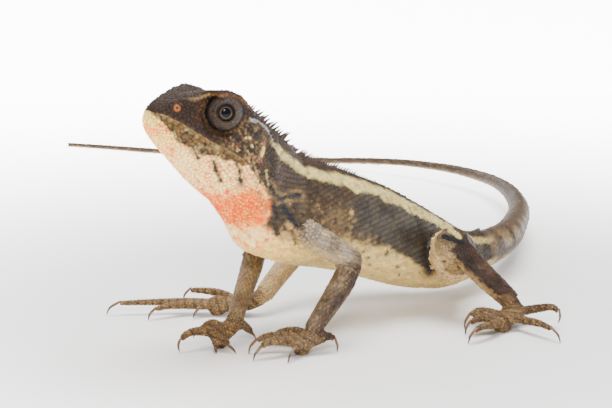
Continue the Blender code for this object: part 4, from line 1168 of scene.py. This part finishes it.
limb_sites = []
hide_finder = point_finder(hide_verts)
for key, joints in LIMB_LINES.items():
    side_name, kind = key.split()
    roots, backs, places = [], [], []
    begun = 0.0
    for part, a, b in zip(LIMB_NODES[kind][:2], joints[:-1], joints[1:]):
        a, b = np.array(a), np.array(b)
        tree = surface_tree((f"{side_name}_{part}",))
        along = unit(b - a)
        side = unit(np.cross(along, (0.0, 0.3, 1.0)))
        up = np.cross(side, along)
        length = np.linalg.norm(b - a)
        for row, walked in enumerate(np.arange(0.0, length, LIMB_PITCH)):
            centre = a + along * walked
            rays = np.array([math.cos(t) * up + math.sin(t) * side for t in PROBE_TURNS])
            probe = cast(tree, np.tile(centre, (len(rays), 1)), rays, 8)
            if np.isnan(probe).sum() > 3:
                continue
            around = max(8, int(round(2 * math.pi * np.nanmedian(probe) / LIMB_SPACING)))
            found, share = ring_sites(centre, up, side, tree, 6.5, around, 0.5 * (row % 2))
            if len(found):
                roots.append(found)
                backs.append(np.tile(along, (len(found), 1)))
                places.append(row_places((begun + walked) / 60, share))
        begun += length + 3
    roots, backs, places = np.vstack(roots), np.vstack(backs), np.vstack(places)
    place, normal, gap = hide_at(roots)
    ahead = flat_on(backs, normal)
    keep = (gap < 0.6) & (hide_zones[[hide_finder.find(p)[1] for p in place.tolist()]] == key)
    place, normal, ahead, places = place[keep], normal[keep], ahead[keep], places[keep]
    count = len(place)
    scales = tile_points(
        place, normal, ahead,
        1.12 * random.uniform(0.9, 1.1, count), 0.9 * random.uniform(0.92, 1.05, count),
        0.11 * random.uniform(0.8, 1.2, count), 0.09 * np.ones(count), 0.09 * np.ones(count),
    )
    limb_sites.append(place + ahead * 0.4)
    tones = site_colours(scales, normal, key)
    coat_piece(f"{side_name}_{kind}_limb_scales", scales, TILE_FACES, tones, places,
               scale_stuff, TILE_PAINTED_LIGHT)


# Fitted plates: the head, hands, feet and the folds where limbs join have no rows but a mosaic of small
# domed plates of horn, set in the skin edge to edge, each cut to its neighbours' distances.
PLATE_SIDES = 8
PLATE_GROOVE = 0.93
PLATE_SINK = 0.07  # mm that a plate's edge lies below the hide
PLATE_TURNS = np.arange(PLATE_SIDES) * 2 * math.pi / PLATE_SIDES


def plate_faces():
    """Triangles of one plate: dome, sloping rim and underside. Point 0 is the top, then two rings."""
    faces = []
    inner, outer = 1, 1 + PLATE_SIDES
    for i in range(PLATE_SIDES):
        j = (i + 1) % PLATE_SIDES
        faces.append((0, inner + i, inner + j))
        faces += [(inner + i, outer + i, outer + j), (inner + i, outer + j, inner + j)]
    faces += [(outer, outer + i + 1, outer + i) for i in range(1, PLATE_SIDES - 1)]
    return np.array(faces)


PLATE_FACES = plate_faces()
# painted light at each point of a plate: a painted highlight on its top and painted shade on its sunk rim
PLATE_PAINTED_LIGHT = np.array((1.1,) + (1.0,) * PLATE_SIDES + (0.5,) * PLATE_SIDES)


def spread_sites(candidates, spacing, relax=3):
    """Picks points among the candidates about spacing apart, then evens them out."""
    order = random.permutation(len(candidates))
    cell = float(spacing.max())
    grid = {}
    chosen = []
    for i in order:
        p = candidates[i]
        home = tuple(np.floor(p / cell).astype(int))
        close = False
        for dx in (-1, 0, 1):
            for dy in (-1, 0, 1):
                for dz in (-1, 0, 1):
                    for j in grid.get((home[0] + dx, home[1] + dy, home[2] + dz), ()):
                        if np.sum((candidates[j] - p) ** 2) < (spacing[i] * 0.84) ** 2:
                            close = True
        if not close:
            grid.setdefault(home, []).append(i)
            chosen.append(i)
    sites = candidates[chosen]
    for _ in range(relax):
        tree = point_finder(sites)
        owner = np.array([tree.find(p)[1] for p in candidates.tolist()])
        held = np.maximum(np.bincount(owner, minlength=len(sites)), 1)
        sites = np.stack([np.bincount(owner, candidates[:, i], len(sites)) / held for i in range(3)], axis=1)
    return sites


def draped(points):
    """Rings of points brought down to the hide, with its normal at each."""
    place, out, _ = hide_at(points.reshape(-1, 3))
    return place.reshape(points.shape), out.reshape(points.shape)


def fitted_plates(sites, normal, ahead, others, dome, keel, reach, drape=True):
    """Points of plates that fill the room between their neighbours, with a keel along their length."""
    everyone = np.vstack((sites, others)) if len(others) else sites
    tree = point_finder(everyone)
    across = np.cross(normal, ahead)
    radii = np.full((len(sites), PLATE_SIDES), 1.0) * reach[:, None]
    for n, p in enumerate(sites.tolist()):
        for _, j, far in tree.find_n(p, 11):
            if j == n or far < 1e-4:
                continue
            away = everyone[j] - sites[n]
            turn = math.atan2(away @ across[n], away @ ahead[n])
            facing = np.cos(PLATE_TURNS - turn)
            limit = np.where(facing > 0.2, 0.5 * far / np.maximum(facing, 0.2), np.inf)
            radii[n] = np.minimum(radii[n], limit)
    radii *= PLATE_GROOVE
    turned = np.cos(PLATE_TURNS)[:, None] * ahead[:, None] + np.sin(PLATE_TURNS)[:, None] * across[:, None]
    ridge = np.where(np.abs(np.sin(PLATE_TURNS)) < 0.1, 1.0, 0.0)
    tip = np.where(np.cos(PLATE_TURNS) > 0.9, 1.0, 0.0)
    shoulder = dome[:, None] * 0.62 + keel[:, None] * (ridge + 0.5 * tip)
    rings = []
    for share, rise in ((0.72, shoulder), (1.0, np.full_like(radii, -PLATE_SINK))):
        place, out = sites[:, None] + turned * (radii * share)[:, :, None], normal[:, None]
        if drape:
            place, out = draped(place)
        rings.append(place + out * rise[:, :, None])
    top = sites + normal * (dome + keel)[:, None]
    return np.concatenate([top[:, None]] + rings, axis=1)


LIP_PITCH = 0.98
LIP_RISE = 0.47  # from the mouth's line to the middle of the plates above and below it
LIP_HALF = 0.92
LIP_END = 16.4
FOLD_REACH = 6.5  # mm along a limb from its root, within which bare hide belongs to a fold
EAR_SIZE = (0.85, 1.65)  # half width and half height of the bare eardrum


def on_side(side, back, above):
    """The place and normal of the hide at a side of the head."""
    start = from_head(side * 14.0, back, above)
    hit = hide_tree.ray_cast(start.tolist(), (-side, 0, 0), 14)
    return np.array(hit[0][:]), np.array(hit[1][:]) * (1 if hit[1][0] * side > 0 else -1)


across, back, above = head_place(hide_verts)
eye_gap = head_gap(EYE, across, back, above)
over_lip = above - np.interp(back, *MOUTH_LINE)
on_lips = (back < LIP_END) & (back > 1.7) & (np.abs(over_lip) < LIP_HALF)
on_ear = (np.hypot((back - EAR[1]) / EAR_SIZE[0], (above - EAR[2]) / EAR_SIZE[1]) < 1) & (across > 4)
on_nostril = head_gap(NOSTRIL, across, back, above) < 0.6
on_head = (hide_zones == "trunk") & (back < 26.6) & (eye_gap > 3.3) & ~on_lips & ~on_ear & ~on_nostril
spacing = 0.52 + 0.12 * step(3, 9, back) + 0.16 * step(15, 20, back) * step(-1.0, 1.0, above)
spacing = spacing + 0.12 * band(4, 15, 1.0, back) * step(6.0, 7.0, above) * (1 - step(2.0, 4.0, across))
sites = spread_sites(hide_verts[on_head], spacing[on_head])
place, normal, _ = hide_at(sites)

lip_sites, lip_normals, lip_ways = [], [], []
for side in (1, -1):
    for rise in (LIP_RISE, -LIP_RISE):
        for back in np.arange(2.1, LIP_END, LIP_PITCH):
            spot, out = on_side(side, back, np.interp(back, *MOUTH_LINE) + rise)
            later, _ = on_side(side, back + 0.4, np.interp(back + 0.4, *MOUTH_LINE) + rise)
            lip_sites.append(spot)
            lip_normals.append(out)
            lip_ways.append(later - spot)
lip_sites, lip_normals = np.array(lip_sites), unit(np.array(lip_normals))
lip_ways = flat_on(np.array(lip_ways), lip_normals)
count = len(lip_sites)
shapes = fitted_plates(lip_sites, lip_normals, lip_ways, place, np.full(count, 0.13), np.full(count, 0.02),
                       np.full(count, 0.72))
_, back, above = head_place(lip_sites)
places = np.stack((0.02 + back / 30, 0.5 + np.sign(lip_sites[:, 0]) * (0.3 + above / 60)), axis=1)
plate_stuff = hide_material("head plates", 0.2, 0.02, 0.46)
tones = site_colours(shapes, lip_normals, "trunk", 0.08)
coat_piece("lip_plates", shapes, PLATE_FACES, tones, places, plate_stuff, PLATE_PAINTED_LIGHT)

across, back, above = head_place(place)
ahead = flat_on(np.tile(HEAD_BACK, (len(place), 1)) - 0.25 * HEAD_UP, normal)
count = len(place)
keel = 0.09 * step(14, 20, back) * step(-2.5, -1.0, above) + 0.03
dome = random.uniform(0.08, 0.14, count)
shapes = fitted_plates(place, normal, ahead, lip_sites, dome, keel, np.full(count, 0.85))
fallen = np.clip((12 - above) / 50, 0.01, 0.48)
places = np.stack((0.02 + back / 30, 0.5 + np.sign(place[:, 0]) * fallen), axis=1)
tones = site_colours(shapes, normal, "trunk")
coat_piece("head_plates", shapes, PLATE_FACES, tones, places, plate_stuff, PLATE_PAINTED_LIGHT)
head_sites = np.vstack((place, lip_sites))

all_sites = np.vstack([trunk_sites, tail_sites, head_sites] + limb_sites)
covered = point_finder(all_sites)
bare_gap = np.array([covered.find(p)[2] for p in hide_verts.tolist()])
bare_zones = np.full(len(hide_verts), "trunk", dtype="U12")
for key, joints in LIMB_LINES.items():
    bare_zones[(hide_zones == key) & (along_line(hide_verts, np.array(joints))[0] > FOLD_REACH)] = key
bare_zones[hide_zones == "tail"] = "tail"
for key in ["trunk"] + list(LIMB_LINES):
    bare = (bare_zones == key) & (bare_gap > 0.55) & (eye_gap > 3.3) & ~on_lips & ~on_ear & ~on_nostril
    picked = hide_verts[bare]
    if len(picked) < 20:
        continue
    sites = spread_sites(picked, np.full(len(picked), 0.42 if key != "trunk" else 0.6))
    place, normal, _ = hide_at(sites)
    if key == "trunk":
        lie = np.tile((0.0, 0.8, -0.3), (len(place), 1))
    else:
        line = np.array(LIMB_LINES[key])
        lie = place - line[2] + 0.5 * (line[2] - line[1])
    ahead = flat_on(lie, normal)
    count = len(place)
    shapes = fitted_plates(place, normal, ahead, all_sites, np.full(count, 0.09), np.full(count, 0.04),
                           np.full(count, 0.5))
    flat = (place - place.min(axis=0)) / np.ptp(place, axis=0)
    left = 0.02 + 0.45 * flat[:, 0] + 0.45 * (normal[:, 2] > 0)
    places = np.stack((left, 0.02 + 0.9 * flat[:, 1]), axis=1)
    piece_name = "fold_plates" if key == "trunk" else key.replace(" ", "_") + "_foot_plates"
    tones = site_colours(shapes, normal, key)
    below = hide_zones[[hide_finder.find(p)[1] for p in place.tolist()]]
    for other in LIMB_LINES if key == "trunk" else ():
        if (below == other).any():
            tones[below == other] = site_colours(shapes[below == other], normal[below == other], other)
    coat_piece(piece_name, shapes, PLATE_FACES, tones, places, plate_stuff,
               PLATE_PAINTED_LIGHT)


# Eyes: a wet ball in each socket, its clear front a little raised, with a round dark pupil, a thin pale ring
# round it and a dark grey-brown iris.
PUPIL = 0.84
IRIS = 1.5
CORNEA_RISE = 0.16
PUPIL_BLACK = (0.003, 0.004, 0.006, 1)
RING_PALE = (0.080, 0.056, 0.042, 1)
IRIS_TONES = ((0.012, 0.008, 0.006, 1), (0.048, 0.030, 0.021, 1))
IRIS_EDGE = (0.25, 0.22, 0.2, 1)


def eye_material(name, centre, gaze):
    """Rings about the line of sight, measured from the place of each point on the ball."""
    made, shader, place = material(name)
    away = place.node("VectorMath", {0: place, 1: tuple(placed(centre))}, operation="SUBTRACT")
    along = place.node("VectorMath", {0: away, 1: tuple(gaze)}, out=1, operation="DOT_PRODUCT")
    reach = place.node("VectorMath", {0: away}, out=1, operation="LENGTH")
    radius = (reach * reach - along * along).maths("MAXIMUM", 0.0) ** 0.5 * 1000.0
    rays = place.node("TexNoise", {"Vector": place, "Scale": 3200.0, "Detail": 3.0})
    edge = radius.between(IRIS * 0.8, IRIS).mix((1, 1, 1, 1), IRIS_EDGE)
    iris = rays.mix(*IRIS_TONES).times(edge)
    ring = radius.between(PUPIL + 0.03, PUPIL + 0.17).mix(RING_PALE, iris)
    link(shader, "Base Color", radius.between(PUPIL - 0.05, PUPIL + 0.03).mix(PUPIL_BLACK, ring))
    link(shader, "Roughness", 0.06)
    link(shader, "Specular IOR Level", 0.05)
    link(shader, "Coat Weight", 0.07)
    link(shader, "Coat Roughness", 0.02)
    return made


def lathe(builder, outline, centre, axis, steps, wide=None, stretch=1.0):
    """Spins a closed outline of (radius, rise) about an axis, and stretches it across if wanted."""
    axis = unit(axis)
    start = unit(np.cross(axis, (0.0, 0.0, 1.0))) if wide is None else unit(np.asarray(wide, dtype=float))
    start = unit(start - axis * float(start @ axis))
    verts = [builder.verts.new(placed(centre + start * r + axis * h)) for r, h in outline]
    edges = [builder.edges.new((a, b)) for a, b in zip(verts, verts[1:] + verts[:1])]
    bmesh.ops.spin(
        builder, geom=verts + edges, cent=Vector(placed(centre)), axis=Vector(axis), dvec=(0, 0, 0),
        angle=2 * math.pi, steps=steps, use_merge=True, use_normal_flip=False, use_duplicate=False,
    )
    bmesh.ops.remove_doubles(builder, verts=builder.verts[:], dist=1e-8)
    if stretch != 1.0:
        for vert in builder.verts:
            away = (np.array(vert.co[:]) - ORIGIN) / MM - centre
            vert.co = placed(centre + away + start * float(away @ start) * (stretch - 1))
    bmesh.ops.recalc_face_normals(builder, faces=builder.faces[:])


for side, word in ((1, "left"), (-1, "right")):
    centre, gaze, _ = eye_axes(side)
    ball = bmesh.new()
    bmesh.ops.create_uvsphere(ball, u_segments=48, v_segments=32, radius=EYE_RADIUS * MM)
    turn = Vector(gaze).to_track_quat("Z", "Y")
    for vert in ball.verts:
        spot = vert.co.normalized()
        bulge = CORNEA_RISE * MM * float(step(0.74, 0.97, spot.z))
        vert.co = turn @ (spot * (EYE_RADIUS * MM + bulge)) + Vector(placed(centre))
    eye = finished(f"{word}_eyeball", ball, eye_material(f"{word} eye", centre, gaze))
    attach(eye, "root")
    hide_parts(f"eye_{word}")


# Lids: a ball of skin over each eye with a round opening, covered with rings of fine granules that run round
# it, grey-brown, and near black at the opening's rim, with painted shade in rings at its folds, where the ball
# sinks into the orbit, and on the skin between the granules.
LID_BALL = 3.0
LID_TURNS = (31, 36, 44, 56, 68, 80, 94, 108, 122)  # degrees from the gaze
LID_INNER = 2.5
LID_OPENING = ((1.44, 2.12), (1.42, 2.34))  # radius and rise of the opening's rim
GRANULE_SIZE = 0.27
LID_GREY = np.array((0.062, 0.048, 0.040))
LID_BROWN = np.array((0.090, 0.055, 0.036))
LID_RIM_AND_SHADE = np.array((0.012, 0.010, 0.010))
lid_stuff = hide_material("lid skin", 0.15, 0.015, 0.5)


def lid_tones(points, turns):
    """Colours of the lids at some angle from the gaze, in degrees: near black at the opening's rim, with painted
    shade in rings at the folds and where the ball sinks into the orbit.
    """
    colours = lay(np.tile(LID_GREY, (len(points), 1)), LID_BROWN, step(0.5, 0.7, noise(points, 0.9, 6.2)))
    colours = lay(colours, LID_RIM_AND_SHADE, 0.8 * (1 - step(33, 38, turns)))
    # painted shade in rings at the lid's folds and where the ball sinks into the orbit
    colours = lay(colours, LID_RIM_AND_SHADE, 0.55 * band(43, 47, 2.0, turns) + 0.4 * band(54, 57, 1.5, turns))
    return lay(colours, LID_RIM_AND_SHADE, step(58, 78, turns))


for side, word in ((1, "left"), (-1, "right")):
    centre, gaze, level = eye_axes(side)
    tall = np.cross(gaze, level)
    turns = np.radians(LID_TURNS)
    outline = list(LID_OPENING) + [(LID_BALL * math.sin(t), LID_BALL * math.cos(t)) for t in turns]
    outline += [(LID_INNER * math.sin(t), LID_INNER * math.cos(t)) for t in turns[:1:-1]]
    ball = bmesh.new()
    lathe(ball, outline, centre, gaze, 56)
    lid = finished(f"{word}_lids", ball, lid_stuff)
    ball_verts = body_points(lid.data.vertices)
    turned = np.degrees(np.arccos(np.clip(unit(ball_verts - centre) @ gaze, -1, 1)))
    # painted shade: the lid's skin between the granules at half the markings' tone
    store_colours(lid.data, lid_tones(ball_verts, turned) * 0.5)
    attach(lid, "root")
    sites, places, turned = [], [], []
    for number, degrees in enumerate(np.arange(32.5, 100, math.degrees(GRANULE_SIZE / LID_BALL))):
        around = int(round(2 * math.pi * LID_BALL * math.sin(math.radians(degrees)) / (GRANULE_SIZE * 1.15)))
        for i in range(around):
            turn = 2 * math.pi * (i + 0.5 * (number % 2)) / around
            out = math.cos(turn) * tall + math.sin(turn) * level
            sites.append(out * math.sin(math.radians(degrees)) + gaze * math.cos(math.radians(degrees)))
            places.append((0.05 + 0.06 * number, 0.02 + 0.9 * i / around))
            turned.append(degrees)
    normals = np.array(sites)
    sites = centre + normals * (LID_BALL - 0.01)
    count = len(sites)
    shapes = fitted_plates(sites, normals, flat_on(np.tile(gaze, (count, 1)), normals), np.zeros((0, 3)),
                           np.full(count, 0.07), np.zeros(count), np.full(count, 0.24), drape=False)
    tones = lid_tones(sites, np.array(turned)) * np.clip(random.normal(1, 0.22, count), 0.5, 1.7)[:, None]
    coat_piece(f"{word}_lid_granules", shapes, PLATE_FACES, tones, np.array(places),
               lid_stuff, PLATE_PAINTED_LIGHT)


# Brow scales: a row of longer keeled scales of horn along the ridge from the nostril over the orbit, rooted
# in the skin, with their tips to the rear.
BROW_LINE = ((2.4, 4.2, 4.2), (3.6, 6.2, 5.3), (4.6, 8.6, 6.8), (5.1, 11.0, 7.8), (5.0, 13.2, 8.3),
             (4.5, 15.4, 8.2), (4.4, 16.8, 7.6))
BROW_PITCH = 0.62
brow_line = smooth_line(marks_on_head(BROW_LINE), 8)
brow_walk = lengths_along(brow_line)
for side, word in ((1, "left"), (-1, "right")):
    walked = np.arange(0.2, brow_walk[-1] - 0.6, BROW_PITCH)
    roots = at_length(brow_line, brow_walk, walked)
    later = at_length(brow_line, brow_walk, walked + 0.5)
    roots[:, 0] *= side
    later[:, 0] *= side
    place, normal, gap = hide_at(roots)
    ahead = flat_on(later - roots, normal)
    _, _, tip_gap = hide_at(place + ahead * 1.2)
    keep = (gap < 0.8) & (normal[:, 2] > 0.2) & (tip_gap < 0.22)
    place, normal, ahead, walked = place[keep], normal[keep], ahead[keep], walked[keep]
    count = len(place)
    scales = tile_points(
        place + normal * SCALE_SINK, normal, ahead,
        random.uniform(1.15, 1.35, count), random.uniform(0.56, 0.64, count),
        random.uniform(0.08, 0.14, count), np.full(count, 0.12), np.full(count, 0.12),
    )
    places = np.stack((0.02 + walked / 30, np.full(count, 0.5 + 0.2 * side)), axis=1)
    tones = site_colours(scales, normal, "trunk", 0.2)
    coat_piece(f"{word}_brow_scales", scales, TILE_FACES, tones, places, scale_stuff, TILE_PAINTED_LIGHT)


# Nostrils and eardrums: each nostril is a hole in the middle of one raised orange scale, darker down inside the
# hole as painted shade; each eardrum is a smooth oval skin, pale yellow with rusty ends, a little below the
# scales round it.
NOSTRIL_RING = ((0.12, -0.28), (0.14, -0.02), (0.26, 0.13), (0.44, 0.12),
                (0.66, -0.04), (0.68, -0.2), (0.4, -0.3))
NOSTRIL_ORANGE = np.array((0.235, 0.074, 0.016))
EARDRUM = ((0.0, 0.10), (0.3, 0.07), (0.56, -0.04), (0.62, -0.16), (0.4, -0.2), (0.0, -0.2))
EARDRUM_TALL = 2.1
EARDRUM_PALE = np.array((0.55, 0.43, 0.12))
for side, word in ((1, "left"), (-1, "right")):
    place, normal, _ = hide_at(np.array([from_head(side * NOSTRIL[0], NOSTRIL[1], NOSTRIL[2])]))
    ring = bmesh.new()
    lathe(ring, NOSTRIL_RING, place[0], normal[0], 24)
    rim = finished(f"{word}_nostril_rim", ring, plate_stuff)
    depth = body_points(rim.data.vertices) - place[0]
    # painted shade: the nostril's rim darker down inside its hole
    painted_light = step(-0.1, 0.12, depth @ normal[0])[:, None]
    store_colours(rim.data, NOSTRIL_ORANGE * (0.3 + 0.7 * painted_light))
    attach(rim, "root")
    spot, out = on_side(side, EAR[1], EAR[2])
    drum = bmesh.new()
    lathe(drum, EARDRUM, spot + out * 0.1, out, 32, wide=HEAD_UP, stretch=EARDRUM_TALL)
    ear = finished(f"{word}_eardrum", drum, hide_material(f"{word} eardrum skin", 0.4, 0.008, 0.3))
    tall = np.abs((body_points(ear.data.vertices) - spot) @ HEAD_UP)
    store_colours(ear.data, lay(np.tile(EARDRUM_PALE, (len(tall), 1)), RUST * 1.8, step(0.75, 1.2, tall)))
    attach(ear, "root")


# Crest: a row of flat, curved spines of horn on the midline from the back of the head, longest on the neck,
# dying out along the back, each standing on the scale below it. Three small ones stand over each ear.
SPINE_PITCH = 0.74
SPINE_RING = 8
SPINE_LEVELS = (0.0, 0.3, 0.6, 0.85)
SPINE_TALL = ((0, 2, 5, 16, 24, 36, 54), (1.3, 2.1, 2.5, 2.4, 1.8, 1.1, 0.5))  # mm behind the first, and mm high
CREST_FRONT = 19.4  # mm back from the snout
CREST_RUN = 54.0
NAPE = 26.8  # mm back from the snout, where the trunk's line takes over from the head's


def spine_length(walked):
    """Height of the crest's spines at a distance behind the first, in mm."""
    return float(np.interp(walked, *SPINE_TALL))


def spine_faces():
    """Triangles of one spine: its sides, its point and its foot."""
    faces = []
    levels = len(SPINE_LEVELS)
    for level in range(levels - 1):
        for i in range(SPINE_RING):
            j = (i + 1) % SPINE_RING
            a, b = level * SPINE_RING, (level + 1) * SPINE_RING
            faces += [(a + i, a + j, b + j), (a + i, b + j, b + i)]
    tip = levels * SPINE_RING
    last = tip - SPINE_RING
    faces += [(last + i, last + (i + 1) % SPINE_RING, tip) for i in range(SPINE_RING)]
    faces += [(0, i + 1, i) for i in range(1, SPINE_RING - 1)]
    return np.array(faces)


def spine_points(root, up, back, length, base, thin):
    """One lance-shaped spine that leans and curves to the rear."""
    side = np.cross(up, back)
    rows = []
    for share in SPINE_LEVELS:
        centre = root + up * (length * share - 0.12) + back * (length * 0.6 * share**1.5)
        wide = base * (1 - share**1.5) + 0.02
        for i in range(SPINE_RING):
            turn = 2 * math.pi * i / SPINE_RING
            rows.append(centre + back * math.cos(turn) * wide + side * math.sin(turn) * wide * thin)
    rows.append(root + up * (length - 0.12) + back * length * 0.6)
    return rows


SPINE_FACES = spine_faces()
shapes, tones, places = [], [], []
for walked in np.arange(0.0, CREST_RUN, SPINE_PITCH):
    along = CREST_FRONT + walked
    if along < NAPE:
        start = from_head(0.0, along, 2.0)
        up, back = HEAD_UP, HEAD_BACK
    else:
        ty, tz, by, bz = (np.interp(along - NAPE, trunk_walk, trunk_fine[:, i]) for i in range(4))
        up = unit(np.array((0.0, ty - by, tz - bz)))
        back = np.array((0.0, up[2], -up[1]))
        start = np.array((0.0, (ty + by) / 2, (tz + bz) / 2))
    hit = hide_tree.ray_cast(start.tolist(), up.tolist(), 20)
    if hit[0] is None:
        continue
    normal = unit(np.array((0.0, hit[1][1], hit[1][2])))
    length = spine_length(walked) * random.uniform(0.7, 1.05)
    lie = unit(back - normal * float(back @ normal))
    shapes.append(spine_points(np.array(hit[0][:]), normal, lie, length, 0.32 + 0.09 * length, 0.4))
    tones.append(BACK * 1.7)
    places.append((0.02 + walked / 60, 0.5))
tones = np.array(tones) * random.uniform(0.75, 1.2, len(tones))[:, None]
# painted light along a spine: painted shade at the root and painted highlight towards the point
SPINE_PAINTED_LIGHT = np.repeat((0.7, 0.9, 1.1, 1.5, 1.9), (SPINE_RING,) * len(SPINE_LEVELS) + (1,))
coat_piece("crest", np.array(shapes), SPINE_FACES, tones, np.array(places),
           scale_stuff, SPINE_PAINTED_LIGHT)

EAR_SPINES = ((18.9, 5.2, 0.85), (20.5, 4.3, 0.95), (22.4, 4.4, 0.7))  # back, above, length
shapes, places = [], []
for side in (1, -1):
    for along, above, length in EAR_SPINES:
        spot, out = on_side(side, along, above)
        rise = unit(out + 0.5 * HEAD_UP)
        lie = unit(HEAD_BACK - rise * float(HEAD_BACK @ rise))
        shapes.append(spine_points(spot, rise, lie, length, 0.3, 0.6))
        places.append((0.5 + along / 60, 0.5 + 0.2 * side))
tones = np.tile(CHEEK * 1.1, (len(shapes), 1))
coat_piece("ear_spines", np.array(shapes), SPINE_FACES, tones, np.array(places),
           scale_stuff, SPINE_PAINTED_LIGHT)


# Claws: curved, laterally flattened horn, amber at the root and dark at the point, rounded off from the
# frame's own claws, with their roots drawn back into the ends of the digits.
CLAW_ROOT = 0.9  # mm that the root goes back into the digit
HORN_TONES = ((0.105, 0.045, 0.016, 1), (0.19, 0.088, 0.032, 1))
CLAW_TIP = (0.03, 0.018, 0.012, 1)


def claw_material():
    """Amber horn that darkens to the point."""
    made, shader, place = material("claw horn")
    grain = place.node("TexNoise", {"Vector": place, "Scale": 1500.0, "Detail": 4.0})
    dark = place.node("Attribute", out="Fac", attribute_name="Tip")
    link(shader, "Base Color", dark.between(0.25, 0.9).mix(grain.mix(*HORN_TONES), CLAW_TIP))
    link(shader, "Roughness", 0.28)
    link(shader, "Coat Weight", 0.3)
    return made


claw_stuff = claw_material()
for key in LIMB_LINES:
    side_name, kind = key.split()
    foot = LIMB_NODES[kind][2]
    names = [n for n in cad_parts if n.startswith(f"{side_name}_{foot}_claw")]
    foot_tree = surface_tree((f"{side_name}_{foot}",))
    horn = bmesh.new()
    tip_layer = horn.verts.layers.float.new("Tip")
    for name in names:
        claw = bmesh.new()
        claw.from_mesh(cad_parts[name].data)
        bmesh.ops.remove_doubles(claw, verts=claw.verts[:], dist=1e-7)
        bmesh.ops.join_triangles(
            claw, faces=claw.faces[:], angle_face_threshold=0.6, angle_shape_threshold=3.0,
        )
        points = np.array([v.co[:] for v in claw.verts])
        gaps = np.array([foot_tree.find_nearest(p)[3] for p in ((points - ORIGIN) / MM).tolist()])
        start = points[gaps < gaps.min() + 0.25].mean(axis=0)
        reach = np.linalg.norm(points - start, axis=1)
        share = reach / reach.max()
        root, middle = points[share < 0.2].mean(axis=0), points[(share > 0.25) & (share < 0.7)].mean(axis=0)
        points[share < 0.2] -= unit(middle - root) * CLAW_ROOT * MM
        made = [horn.verts.new(point) for point in points]
        for vert, value in zip(made, share):
            vert[tip_layer] = value
        for face in claw.faces:
            horn.faces.new([made[v.index] for v in face.verts])
        claw.free()
    piece = finished(f"{side_name}_{foot}_claws", horn, claw_stuff)
    round_off = piece.modifiers.new("round off", "SUBSURF")
    round_off.levels = 2
    round_off.render_levels = 2
    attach(piece, "root")
    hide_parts(*names)

new_low, new_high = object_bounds()
sizes = {"cad": [list(cad_low), list(cad_high)], "visual": [list(new_low), list(new_high)]}
